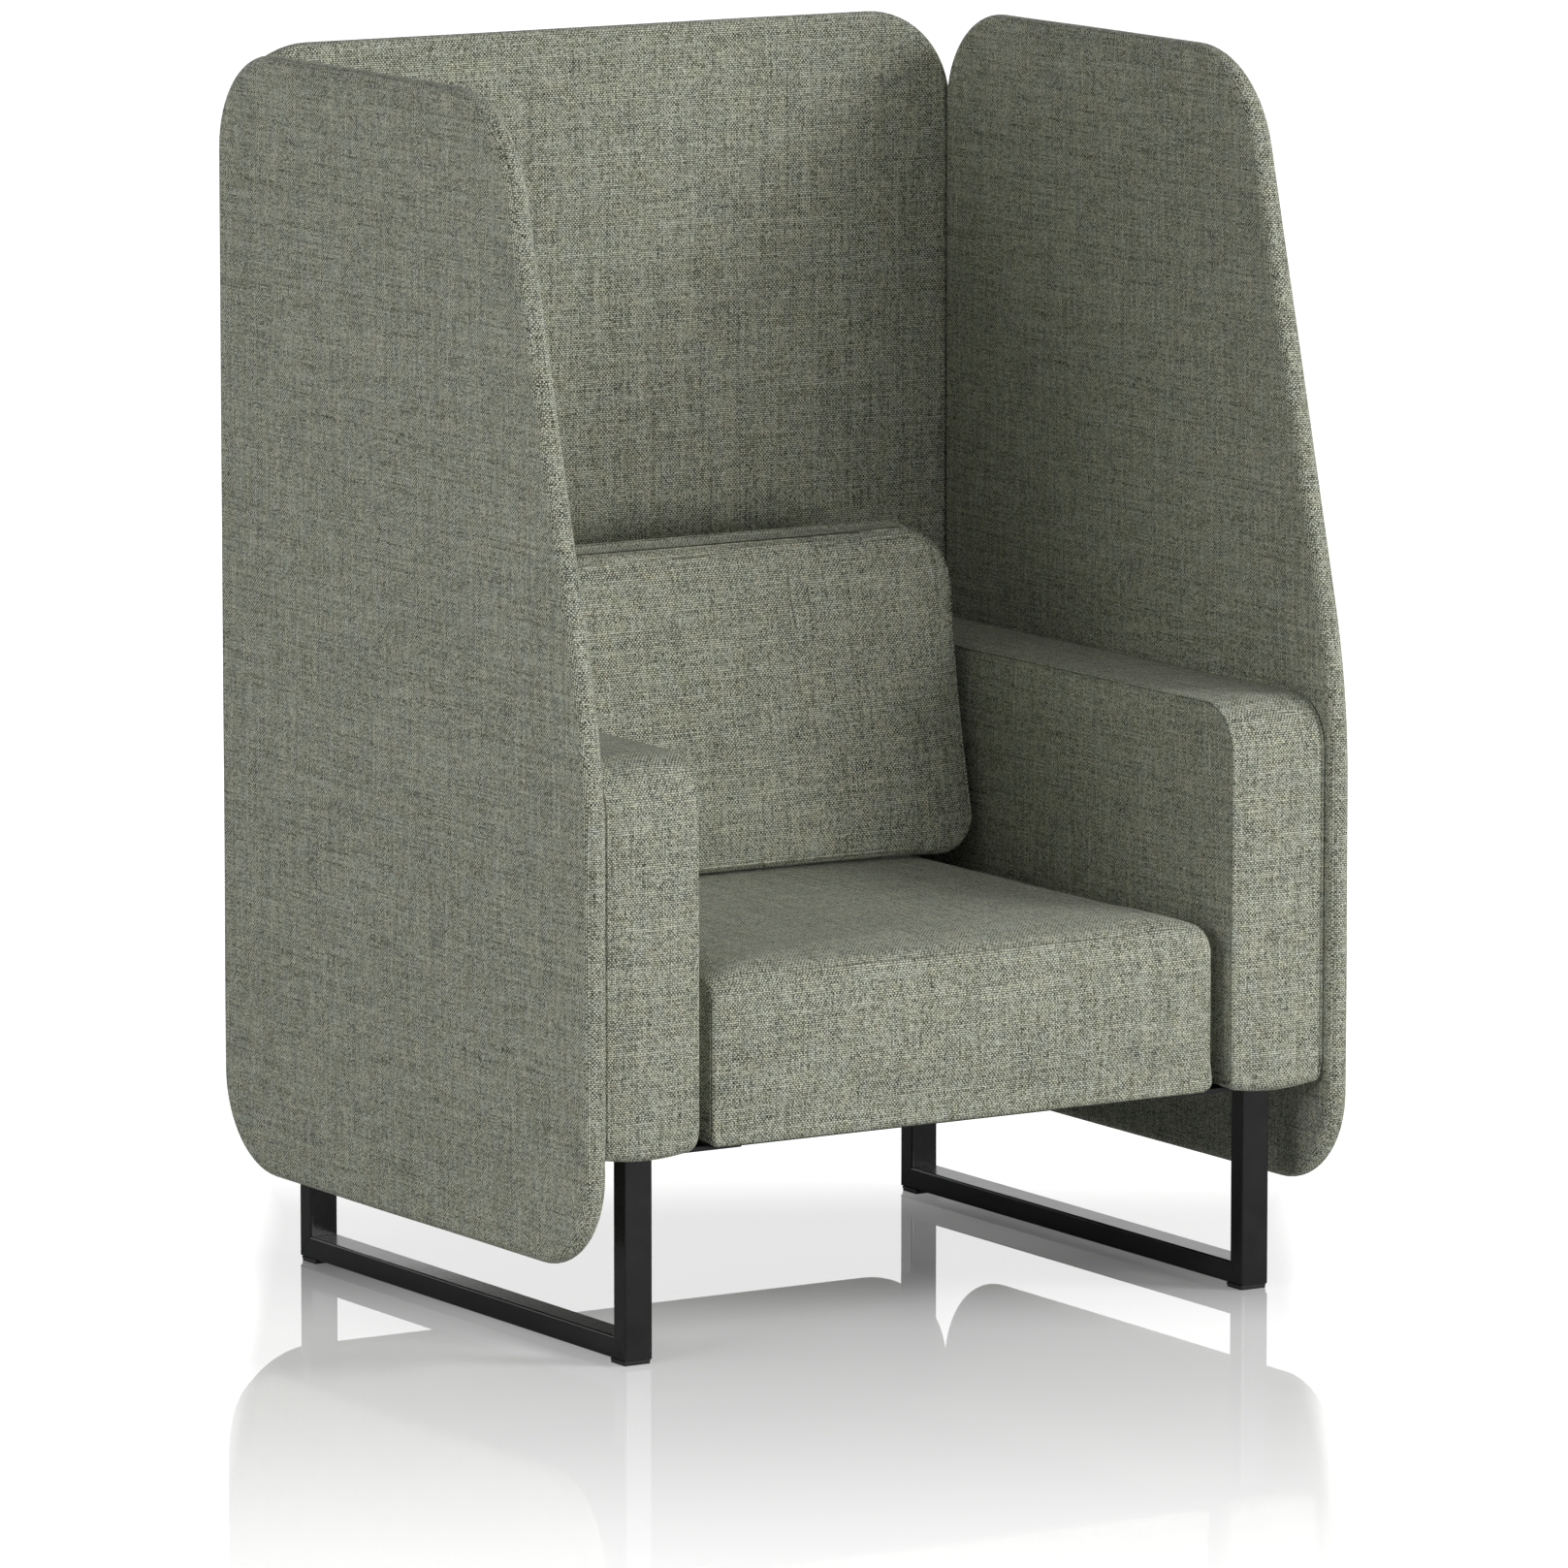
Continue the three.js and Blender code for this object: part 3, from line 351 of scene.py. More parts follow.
def make_arm(side, sign):
    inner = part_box(f"{side}_arm_inner_pad")
    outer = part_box(f"{side}_arm_outer_pad")
    low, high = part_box(f"{side}_arm_band")
    left = min(inner[0].x, outer[0].x)
    right = max(inner[1].x, outer[1].x)
    corners = [
        (low.y, low.z, ARM_BOTTOM_RADIUS),
        (high.y, low.z, ARM_BOTTOM_RADIUS),
        (high.y, high.z, ARM_REAR_RADIUS),
        (low.y, high.z, ARM_FRONT_RADIUS),
    ]
    outline, normals = rounded_outline(corners, OUTLINE_STEP / 2)
    radii = arm_edge_radii(outline, low)
    flush = np.zeros(len(outline))
    middle = (left + right) / 2
    half = (right - left) / 2

    def ring(inset, place):
        points = outline - normals * np.asarray(inset)[..., None] * np.ones(2)
        share = np.clip(np.asarray(place) / half, -1, 1)
        heights = points[:, 1] - arm_sag(points, share, low)
        return np.column_stack((middle + np.broadcast_to(place, len(points)), points[:, 0], heights))

    def edge_point(angle, end):
        """A place on the rounding: angle zero on the band, a right angle on the side face."""
        return radii * (1 - math.cos(angle)), end * (half - radii * (1 - math.sin(angle)))

    def groove_point(end, into_band):
        """The bottom of the seam: on the rounding inside, on the flat of the band next to the screen."""
        if end == sign:
            place = end * (half - ARM_OUTER_SEAM_INSET - into_band * ARM_SEAM_HALF_WIDTH)
            return flush + ARM_OUTER_SEAM_DEPTH, place
        inset, place = edge_point(ARM_SEAM_ANGLE, end)
        inward = ARM_SEAM_DEPTH * math.cos(ARM_SEAM_ANGLE)
        shift = ARM_SEAM_DEPTH * math.sin(ARM_SEAM_ANGLE) + into_band * ARM_SEAM_HALF_WIDTH
        return inset + inward, place - end * shift

    def band_lip(end):
        """Rings from the seam to the flat of the band."""
        if end == sign:
            place = end * (half - ARM_OUTER_SEAM_INSET - ARM_SEAM_HALF_WIDTH)
            return [ring(flush, place), ring(flush, place - end * 2 * ARM_SEAM_HALF_WIDTH)]
        angles = np.linspace(ARM_SEAM_ANGLE - ARM_SEAM_LIP_ANGLE, 0, EDGE_STEPS)
        return [ring(*edge_point(angle, end)) for angle in angles]

    def panel_lip(end):
        """Rings from the seam over the rounding to the side face."""
        if end == sign:
            place = end * (half - ARM_OUTER_SEAM_INSET + ARM_SEAM_HALF_WIDTH)
            rounding = np.linspace(0, math.pi / 2, EDGE_STEPS)
            return [ring(flush, place)] + [ring(*edge_point(angle, end)) for angle in rounding]
        angles = np.linspace(ARM_SEAM_ANGLE + ARM_SEAM_LIP_ANGLE, math.pi / 2, EDGE_STEPS)
        return [ring(*edge_point(angle, end)) for angle in angles]

    def backing(inset, place):
        """The band's turned-in edge behind a seam."""
        return ring(np.maximum(ARM_BACKING, inset + ARM_SEAM_HALF_WIDTH), place)

    def band_rings():
        groove_right = groove_point(1, 1)
        groove_left = groove_point(-1, 1)
        rows = [backing(*groove_left), ring(*groove_left)]
        rows.extend(band_lip(-1))
        reach = half - radii.max()
        for share in np.linspace(-1, 1, ARM_STATIONS)[1:-1]:
            rows.append(ring(-ARM_CROWN * (1 - share**2), share * reach))
        rows.extend(reversed(band_lip(1)))
        return rows + [ring(*groove_right), backing(*groove_right)]

    band = ring_mesh(f"{side}_arm_band_upholstery", band_rings(), closed_loop=True)
    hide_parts(f"{side}_arm_band")
    dress(band, MATERIALS["fabric"])

    centre = outline.mean(axis=0)
    for face, end in (("inner", -sign), ("outer", sign)):
        back = end * (half - ARM_BACKING)
        rows = [ring_scaled(outline, centre, share, middle + back) for share in ARM_BACKING_SHARES]
        rows.append(ring(flush + ARM_BACKING_REACH, back))
        inset, place = groove_point(end, -1)
        rows.append(ring(inset + ARM_SEAM_HALF_WIDTH, flush + back))
        rows.append(ring(inset, place))
        rows.extend(panel_lip(end))
        for extra in ARM_FACE_INSETS:
            puff = ARM_PANEL_PUFF * smoothstep(0, ARM_PANEL_PUFF_REACH, extra) if face == "inner" else 0
            rows.append(ring_inset(outline, normals, radii, extra, middle + end * (half + puff), centre))
        panel = ring_mesh(f"{side}_arm_{face}_upholstery", rows)
        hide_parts(f"{side}_arm_{face}_pad")
        dress(panel, MATERIALS["fabric"])


def ring_scaled(outline, centre, share, place):
    points = centre + (outline - centre) * share
    return np.column_stack((np.full(len(points), place), points))


def ring_inset(outline, normals, radii, extra, place, centre):
    """A ring further in on a side face: offset near the edge, drawn to the centre deeper in."""
    shallow = outline - normals * (radii + min(extra, ARM_FACE_EDGE))[:, None]
    points = centre + (shallow - centre) * (1 - max(extra - ARM_FACE_EDGE, 0) / ARM_FACE_REACH)
    return np.column_stack((np.full(len(points), place), points))


def make_arms():
    for side, sign in SIDES.items():
        make_arm(side, sign)


# Seat block: one cloth over the top and the front, sewn to a panel on each side
def make_seat():
    low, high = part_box("seat_cushion")
    bottom = low.z - SEAT_UNDERSIDE
    top = high.z - SEAT_CROWN
    corners = [
        (low.y, bottom, SEAT_BOTTOM_EDGE),
        (high.y, bottom, SEAT_BOTTOM_EDGE),
        (high.y, top, SEAT_REAR_EDGE),
        (low.y, top, SEAT_FRONT_TOP),
    ]
    outline, normals = rounded_outline(corners)
    centre = outline.mean(axis=0)
    half = high.x

    def drawn(place, points):
        """The soft top, lower along its sides, and the full front face."""
        height = (points[:, 1] - bottom) / (top - bottom)
        depth = (points[:, 0] - centre[0]) / (high.y - centre[0])
        across = 1 - (place / half) ** 2
        from_side = np.clip((half - abs(place)) / SEAT_SIDE_DROP_REACH, 0, 1)
        rise = SEAT_CROWN * across * (1 - depth**2) - SEAT_SIDE_DROP * (1 - from_side) ** 2
        swell = 4 * height * (1 - height) * across - 0.5
        front = smoothstep(centre[0], low.y, points[:, 0])
        ys = points[:, 0] - SEAT_FRONT_BULGE * swell * front
        to_corner = 1 - np.clip((half - abs(place)) / SEAT_LOW_CORNER_REACH, 0, 1)
        lift = SEAT_LOW_CORNER * to_corner**2 * smoothstep(SEAT_LOW_CORNER_RISE, 0, height)
        lip_end = low.y + SEAT_FRONT_LIP_REACH
        at_front = smoothstep(lip_end + SEAT_FRONT_LIP_REACH, lip_end, points[:, 0])
        lift -= SEAT_FRONT_LIP * at_front * smoothstep(SEAT_LIP_RISE, 0, height)
        zs = points[:, 1] + rise * smoothstep(SEAT_CROWN_FROM, 1, height) + lift
        return np.column_stack((np.full(len(points), place), ys, zs))

    def ring(inset, place):
        return drawn(place, outline - normals * inset)

    def edge_ring(angle, depth=0.0, offset=0.0):
        """A ring on the side's rounding: angle zero on the top and front, a right angle on the side."""
        cosine, sine = math.cos(angle), math.sin(angle)
        inset = SEAT_SIDE_EDGE * (1 - cosine) + depth * cosine + offset * sine
        reach = SEAT_SIDE_EDGE * (1 - sine) + depth * sine - offset * cosine
        return ring(inset, half - reach)

    side = []
    for share in FACE_SHARES:
        inner = centre + (outline - normals * SEAT_PANEL_INSETS[0] - centre) * share
        side.append(drawn(half + SEAT_SIDE_PUFF, inner))
    for inset in SEAT_PANEL_INSETS:
        puff = SEAT_SIDE_PUFF * smoothstep(SEAT_SIDE_EDGE, SEAT_PANEL_INSETS[0], inset)
        side.append(ring(inset, half + puff))
    lip = math.asin(SEAT_SEAM_HALF_WIDTH / SEAT_SIDE_EDGE)
    for angle in np.linspace(math.pi / 2, SEAT_SEAM_ANGLE + lip, EDGE_STEPS // 2):
        side.append(edge_ring(angle))
    side.append(edge_ring(SEAT_SEAM_ANGLE, SEAT_SEAM_DEPTH, SEAT_SEAM_HALF_WIDTH / 3))
    side.append(edge_ring(SEAT_SEAM_ANGLE, SEAT_SEAM_DEPTH, -SEAT_SEAM_HALF_WIDTH / 3))
    for angle in np.linspace(SEAT_SEAM_ANGLE - lip, 0, EDGE_STEPS):
        side.append(edge_ring(angle))
    stations = half - SEAT_SIDE_EDGE - np.array(SEAT_STATIONS)
    side.extend(ring(0, place) for place in stations)
    spread = np.linspace(stations[-1], -stations[-1], SEAT_STATIONS_BETWEEN)[1:-1]
    mirrored = [row * (-1, 1, 1) for row in reversed(side)]
    seat = ring_mesh("seat_upholstery", side + [ring(0, place) for place in spread] + mirrored)
    fill(seat, SEAT_CAP, flat_below=bottom + SEAT_FLAT_HEIGHT)
    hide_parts("seat_cushion")
    return dress(seat, MATERIALS["fabric"])


# Backrest block and back cushion
def make_backrest_block():
    low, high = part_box("backrest_block")
    corners = [
        (low.x, low.z, BLOCK_CORNER),
        (high.x, low.z, BLOCK_CORNER),
        (high.x, high.z, BLOCK_CORNER),
        (low.x, high.z, BLOCK_CORNER),
    ]
    outline, normals = rounded_outline(corners)
    middle = (low.y + high.y) / 2
    half = (high.y - low.y) / 2 - BLOCK_CROWN
    rings = []
    slab = slab_rings(outline, normals, half, BLOCK_EDGE, BLOCK_CROWN, BLOCK_FACE_INSETS, FACE_SHARES)
    for points, place in slab:
        rings.append(np.column_stack((points[:, 0], np.full(len(points), middle - place), points[:, 1])))
    block = ring_mesh("backrest_block_upholstery", rings)
    edit_points(block, waved(BLOCK_WAVE, BLOCK_WAVE_PERIOD, BLOCK_WAVE_SEED))
    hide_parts("backrest_block")
    return dress(block, MATERIALS["fabric"])


def make_back_cushion():
    low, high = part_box("back_cushion")
    rear = high.y
    corners = [
        (low.x, low.z, CUSHION_BOTTOM_RADIUS),
        (high.x, low.z, CUSHION_BOTTOM_RADIUS),
        (high.x, high.z, CUSHION_TOP_RADIUS),
        (low.x, high.z, CUSHION_TOP_RADIUS),
    ]
    outline, normals = rounded_outline(corners)
    centre = outline.mean(axis=0)

    def depth_at(heights):
        share = (heights - low.z) / (high.z - low.z)
        return CUSHION_BOTTOM_DEPTH + (CUSHION_TOP_DEPTH - CUSHION_BOTTOM_DEPTH) * share

    def ring(inset, depth_share, setback, share=1.0, crown=0.0):
        points = centre + (outline - normals * inset - centre) * share
        depth = depth_at(points[:, 1])
        place = rear - depth * depth_share + setback - crown * (1 - share**2)
        return np.column_stack((points[:, 0], place, points[:, 1]))

    rows = [ring(CUSHION_EDGE, 0, 0, share) for share in FACE_SHARES]
    for k in range(EDGE_STEPS + 1):
        angle = math.pi / 2 * k / EDGE_STEPS
        inset = CUSHION_EDGE * (1 - math.sin(angle))
        rows.append(ring(inset, 0, -CUSHION_EDGE * (1 - math.cos(angle))))
    for share in np.linspace(0, 1, CUSHION_SIDE_STATIONS)[1:-1]:
        rows.append(ring(CUSHION_SIDE_DRAW * 4 * share * (1 - share), share, 0))
    edge = CUSHION_FRONT_EDGE
    lip = CUSHION_SEAM_HALF_WIDTH / edge
    seam = math.pi / 2 - CUSHION_SEAM_ANGLE
    before = np.linspace(0, seam - lip, EDGE_STEPS)
    after = np.linspace(seam + lip, math.pi / 2, EDGE_STEPS // 2)
    steps = [(angle, 0) for angle in before]
    steps.append((seam, CUSHION_SEAM_DEPTH))
    steps.extend((angle, 0) for angle in after)
    for angle, depth in steps:
        inset = edge - (edge - depth) * math.cos(angle)
        rows.append(ring(inset, 1, edge - (edge - depth) * math.sin(angle)))
    rows.extend(ring(edge, 1, 0, share, CUSHION_CROWN) for share in reversed(FACE_SHARES))
    cushion = ring_mesh("back_cushion_upholstery", rows)
    fill(cushion, CUSHION_CAP, flat_behind=rear - CUSHION_FLAT_DEPTH)
    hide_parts("back_cushion")
    dress(cushion, MATERIALS["fabric"])

    tree = BVHTree.FromObject(cushion, bpy.context.evaluated_depsgraph_get())
    welt_angle = seam + WELT_FROM_SEAM * lip
    front = (edge * (1 - math.cos(welt_angle)), 1, edge * (1 - math.sin(welt_angle)))
    rear_edge = (CUSHION_EDGE * WELT_REAR_SHARE, 0, -CUSHION_EDGE * WELT_REAR_SHARE)
    for name, place in (("front", front), ("rear", rear_edge)):
        loop = ring(*place)
        seated = [tree.find_nearest(Vector(point))[0] for point in loop]
        welt = tube_loop(f"back_cushion_{name}_welt", seated, WELT_RADIUS)
        dress(welt, MATERIALS["fabric"])


def tube_loop(name, centres, radius, sides=10, smoothings=4):
    """A closed round tube along a loop of points."""
    centres = np.array([tuple(c) for c in centres])
    for _ in range(smoothings):
        centres = (np.roll(centres, 1, 0) + 2 * centres + np.roll(centres, -1, 0)) / 4
    tangents = np.roll(centres, -1, 0) - np.roll(centres, 1, 0)
    tangents /= np.linalg.norm(tangents, axis=1)[:, None]
    outward = centres - centres.mean(axis=0)
    outward -= tangents * (outward * tangents).sum(axis=1)[:, None]
    outward /= np.linalg.norm(outward, axis=1)[:, None]
    second = np.cross(tangents, outward)
    rings = []
    for k in range(sides):
        angle = 2 * math.pi * k / sides
        rings.append(centres + radius * (math.cos(angle) * outward + math.sin(angle) * second))
    return ring_mesh(name, rings, closed_loop=True)


def fill(obj, cap, flat_below=None, flat_behind=None):
    """Fill a piece: a remeshed cloth copy swells under pressure and passes its capped movement on."""
    skin = obj.copy()
    skin.data = obj.data.copy()
    scene = bpy.context.scene
    scene.collection.objects.link(skin)
    remesh = skin.modifiers.new("Remesh", "REMESH")
    remesh.mode = "VOXEL"
    remesh.voxel_size = VOXEL
    apply_modifiers(skin)
    rest = mesh_points(skin)
    cloth = skin.modifiers.new("Cloth", "CLOTH")
    settings = cloth.settings
    settings.use_pressure = True
    settings.effector_weights.gravity = 0
    for name, value in CLOTH.items():
        setattr(settings, name, value)
    cloth.point_cache.frame_start = 1
    cloth.point_cache.frame_end = SIMULATION_FRAMES
    for number in range(1, SIMULATION_FRAMES + 1):
        scene.frame_set(number)
    apply_modifiers(skin)
    moved = mesh_points(skin) - rest
    scene.frame_set(1)
    bpy.data.objects.remove(skin)

    length = np.maximum(np.linalg.norm(moved, axis=1), 1e-9)
    moved *= (cap * np.tanh(length / cap) / length)[:, None]
    if flat_below is not None:
        moved *= smoothstep(flat_below, flat_below + FLAT_REACH, rest[:, 2])[:, None]
    if flat_behind is not None:
        moved *= smoothstep(flat_behind, flat_behind - FLAT_REACH, rest[:, 1])[:, None]
    tree = KDTree(len(rest))
    for i, point in enumerate(rest):
        tree.insert(point, i)
    tree.balance()

    def swelled(points, normals):
        result = points.copy()
        for i, point in enumerate(points):
            found = tree.find_n(point, NEAR_POINTS)
            weights = np.array([1 / (distance + VOXEL / 2) ** 2 for _, _, distance in found])
            shifts = moved[[index for _, index, _ in found]]
            result[i] += weights @ shifts / weights.sum()
        return result

    edit_points(obj, swelled)


def mesh_points(obj):
    points = np.zeros(len(obj.data.vertices) * 3)
    obj.data.vertices.foreach_get("co", points)
    return points.reshape(-1, 3)


def apply_modifiers(obj):
    depsgraph = bpy.context.evaluated_depsgraph_get()
    mesh = bpy.data.meshes.new_from_object(obj.evaluated_get(depsgraph), depsgraph=depsgraph)
    obj.modifiers.clear()
    obj.data = mesh


def dress(obj, material):
    obj.data.materials.clear()
    obj.data.materials.append(material)
    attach(obj, "root")
    return obj


# Materials
class Shader:
    """Short hand for the nodes of one material."""

    def __init__(self, name):
        self.material = bpy.data.materials.new(name)
        self.material.use_nodes = True
        self.tree = self.material.node_tree
        self.tree.nodes.clear()
        self.output = self.tree.nodes.new("ShaderNodeOutputMaterial")

    def node(self, kind, **settings):
        made = self.tree.nodes.new(kind)
        for key, value in settings.items():
            setattr(made, key, value)
        return made

    def link(self, source, target):
        if isinstance(source, (int, float, tuple)):
            target.default_value = source
        else:
            self.tree.links.new(source, target)

    def math(self, operation, first, second=None, third=None):
        made = self.node("ShaderNodeMath", operation=operation)
        for socket, value in zip(made.inputs, (first, second, third)):
            if value is not None:
                self.link(value, socket)
        return made.outputs[0]

    def blend(self, share, low, high):
        made = self.node("ShaderNodeMix", data_type="FLOAT")
        for socket, value in zip((made.inputs[0], made.inputs[2], made.inputs[3]), (share, low, high)):
            self.link(value, socket)
        return made.outputs[0]

    def along(self, place, direction):
        made = self.node("ShaderNodeVectorMath", operation="DOT_PRODUCT")
        self.link(place, made.inputs[0])
        made.inputs[1].default_value = direction
        return made.outputs["Value"]

    def spread(self, value, reach, levels):
        """A smooth passage from one level to another while the value crosses the reach."""
        made = self.node("ShaderNodeMapRange", interpolation_type="SMOOTHSTEP")
        for socket, item in zip(made.inputs, (value, *reach, *levels)):
            self.link(item, socket)
        return made.outputs[0]

    def multiply(self, first, second):
        made = self.node("ShaderNodeMix", data_type="RGBA", blend_type="MULTIPLY")
        made.inputs["Factor"].default_value = 1.0
        self.link(first, made.inputs[6])
        self.link(second, made.inputs[7])
        return made.outputs[2]

    def combine(self, x, y, z):
        made = self.node("ShaderNodeCombineXYZ")
        for socket, value in zip(made.inputs, (x, y, z)):
            self.link(value, socket)
        return made.outputs[0]

    def noise(self, vector, scale, detail=2.0, roughness=0.5):
        made = self.node("ShaderNodeTexNoise")
        self.link(vector, made.inputs["Vector"])
        made.inputs["Scale"].default_value = scale
        made.inputs["Detail"].default_value = detail
        made.inputs["Roughness"].default_value = roughness
        return made.outputs["Fac"]

    def ramp(self, value, stops):
        made = self.node("ShaderNodeValToRGB")
        self.link(value, made.inputs[0])
        elements = made.color_ramp.elements
        while len(elements) < len(stops):
            elements.new(0.5)
        for element, (place, colour) in zip(elements, stops):
            element.position = place
            element.color = (*linear(colour), 1)
        return made.outputs[0]

    def principled(self, **values):
        made = self.node("ShaderNodeBsdfPrincipled")
        for key, value in values.items():
            self.link(value, made.inputs[key.replace("_", " ")])
        self.link(made.outputs[0], self.output.inputs["Surface"])
        return made

    def bump(self, height, distance, strength=1.0):
        made = self.node("ShaderNodeBump")
        made.inputs["Distance"].default_value = distance
        made.inputs["Strength"].default_value = strength
        self.link(height, made.inputs["Height"])
        return made.outputs[0]


def linear(colour):
    """A colour written as a hex string, as linear light."""
    values = [int(colour[i : i + 2], 16) / 255 for i in (1, 3, 5)]
    return tuple(v / 12.92 if v <= 0.04045 else ((v + 0.055) / 1.055) ** 2.4 for v in values)


# Weave: pitch of the upright warp and of the level weft
WARP_PITCH = 0.0020
WEFT_PITCH = 0.00233
SLUB_THREADS = 45
SLUB_DETAIL = (3.0, 0.65)
WARP_SCATTER = 7.31
WEFT_SCATTER = 5.77
FIBRES = 2.0
FIBRE_RUN = 1.7
WEAVE_RELIEF = 0.0004
# Tone of the yarn: its middle, and how much each cause changes it. The column and row groove values paint
# shade into the gaps between the yarns and light onto their crowns.
TONE_MIDDLE = 0.515
SLUB_CONTRAST = 1.4
STITCH_CONTRAST = 0.35
FIBRE_CONTRAST = 1.5
BLOTCH_CONTRAST = 0.06
OVER_CONTRAST = 0.4
COLUMN_GAP_SHADE = 0.36
ROW_GAP_SHADE = 0.72
YARN_STOPS = ((0.0, "#24261f"), (0.25, "#606356"), (0.5, "#949788"), (0.75, "#bec1b1"), (1.0, "#e5e7da"))


def fabric_material():
    """Plain weave of melange yarn, laid along the chair's own axes and turned on the faces across X."""
    s = Shader("melange_weave")
    coordinates = s.node("ShaderNodeTexCoord")
    place = s.node("ShaderNodeSeparateXYZ")
    s.link(coordinates.outputs["Object"], place.inputs[0])
    facing = s.node("ShaderNodeSeparateXYZ")
    s.link(coordinates.outputs["Normal"], facing.inputs[0])
    x, y, z = place.outputs
    nx, ny, nz = (s.math("ABSOLUTE", socket) for socket in facing.outputs)
    on_x = s.math("GREATER_THAN", nx, s.math("MAXIMUM", ny, nz))
    on_z = s.math("GREATER_THAN", nz, s.math("MAXIMUM", nx, ny))
    u = s.math("DIVIDE", s.blend(on_x, x, z), WARP_PITCH)
    v = s.math("DIVIDE", s.blend(s.math("MAXIMUM", on_x, on_z), z, y), WEFT_PITCH)

    column, row = s.math("FLOOR", u), s.math("FLOOR", v)
    from_warp = s.math("ABSOLUTE", s.math("MULTIPLY_ADD", s.math("FRACT", u), 2.0, -1.0))
    from_weft = s.math("ABSOLUTE", s.math("MULTIPLY_ADD", s.math("FRACT", v), 2.0, -1.0))
    over = s.math("MODULO", s.math("ABSOLUTE", s.math("ADD", column, row)), 2.0)

    along_warp, along_weft = s.math("DIVIDE", v, SLUB_THREADS), s.math("DIVIDE", u, SLUB_THREADS)
    warp_place = s.combine(s.math("MULTIPLY", column, WARP_SCATTER), along_warp, 0.5)
    weft_place = s.combine(along_weft, s.math("MULTIPLY", row, WEFT_SCATTER), 9.5)
    warp_slub = s.noise(warp_place, 1.0, *SLUB_DETAIL)
    weft_slub = s.noise(weft_place, 1.0, *SLUB_DETAIL)
    slub = s.blend(over, weft_slub, warp_slub)
    stitch = s.node("ShaderNodeTexWhiteNoise", noise_dimensions="2D")
    s.link(s.combine(column, row, 0.0), stitch.inputs["Vector"])
    blotch = s.noise(coordinates.outputs["Object"], 30.0, 3.0)
    warp_place = s.combine(s.math("MULTIPLY", u, FIBRES), s.math("MULTIPLY", v, FIBRE_RUN), 3.5)
    weft_place = s.combine(s.math("MULTIPLY", u, FIBRE_RUN), s.math("MULTIPLY", v, FIBRES), 6.5)
    fibre = s.blend(over, s.noise(weft_place, 1.0, 0.0), s.noise(warp_place, 1.0, 0.0))
    shade = s.noise(coordinates.outputs["Object"], 48.0, 2.0)
    tint = s.ramp(shade, ((0.36, "#fafcfa"), (0.64, "#fffef5")))

    # Painted shade: the yarn's tone darkens towards the gaps between yarns and lightens on their crowns
    between_columns = s.math("POWER", from_warp, 2.0)
    between_rows = s.math("POWER", from_weft, 2.0)
    on_column, on_row = (s.math("SUBTRACT", 1.0, between) for between in (between_columns, between_rows))
    height = s.math("MULTIPLY", on_column, on_row)

    tone = TONE_MIDDLE
    for value, middle, contrast in (
        (slub, 0.5, SLUB_CONTRAST),
        (stitch.outputs["Value"], 0.5, STITCH_CONTRAST),
        (fibre, 0.5, FIBRE_CONTRAST),
        (blotch, 0.5, BLOTCH_CONTRAST),
        (over, 0.5, OVER_CONTRAST),
        (between_columns, 1 / 3, -COLUMN_GAP_SHADE),
        (between_rows, 1 / 3, -ROW_GAP_SHADE),
    ):
        tone = s.math("MULTIPLY_ADD", s.math("SUBTRACT", value, middle), contrast, tone)
    s.principled(
        Base_Color=s.multiply(s.ramp(tone, YARN_STOPS), tint),
        Roughness=0.92,
        Sheen_Weight=0.12,
        Sheen_Roughness=0.5,
        Specular_IOR_Level=0.2,
        Normal=s.bump(height, WEAVE_RELIEF, 0.5),
    )
    return s.material


def steel_material():
    """Satin black powder coat with its fine orange peel."""
    s = Shader("black_powder_coat")
    coordinates = s.node("ShaderNodeTexCoord").outputs["Object"]
    peel = s.noise(coordinates, 900.0, 3.0)
    wear = s.noise(coordinates, 35.0, 4.0)
    colour = s.ramp(wear, ((0.3, "#19191a"), (0.7, "#1f1f20")))
    roughness = s.math("MULTIPLY_ADD", wear, 0.1, 0.16)
    s.principled(
        Base_Color=colour, Roughness=roughness, Metallic=0.0, Specular_IOR_Level=0.5,
        Normal=s.bump(peel, 0.00008, 0.35),
    )
    return s.material


def bolt_material():
    s = Shader("dark_zinc")
    coordinates = s.node("ShaderNodeTexCoord").outputs["Object"]
    grain = s.noise(coordinates, 1400.0, 3.0)
    colour = s.ramp(grain, ((0.3, "#3b3b3f"), (0.7, "#56565b")))
    s.principled(
        Base_Color=colour, Metallic=0.9, Roughness=s.math("MULTIPLY_ADD", grain, 0.15, 0.28),
        Normal=s.bump(grain, 0.00005, 0.3),
    )
    return s.material


def plastic_material(name, dark, light, roughness, grain_scale):
    s = Shader(name)
    coordinates = s.node("ShaderNodeTexCoord").outputs["Object"]
    grain = s.noise(coordinates, grain_scale, 3.0)
    s.principled(
        Base_Color=s.ramp(grain, ((0.3, dark), (0.7, light))),
        Roughness=roughness,
        Normal=s.bump(grain, 0.00006, 0.4),
    )
    return s.material


def wood_material(name, dark, light, ring_scale):
    """Sawn timber or board: long grain along the chair's width with fine pores."""
    s = Shader(name)
    coordinates = s.node("ShaderNodeTexCoord").outputs["Object"]
    stretch = s.node("ShaderNodeMapping")
    s.link(coordinates, stretch.inputs["Vector"])
    stretch.inputs["Scale"].default_value = (1.0, 9.0, 9.0)
    rings = s.noise(stretch.outputs[0], ring_scale, 4.0, 0.6)
    pores = s.noise(stretch.outputs[0], ring_scale * 14, 2.0)
    tone = s.math("MULTIPLY_ADD", pores, 0.25, s.math("MULTIPLY", rings, 0.8))
    s.principled(
        Base_Color=s.ramp(tone, ((0.3, dark), (0.75, light))),
        Roughness=0.72,
        Normal=s.bump(pores, 0.0002, 0.4),
    )
    return s.material


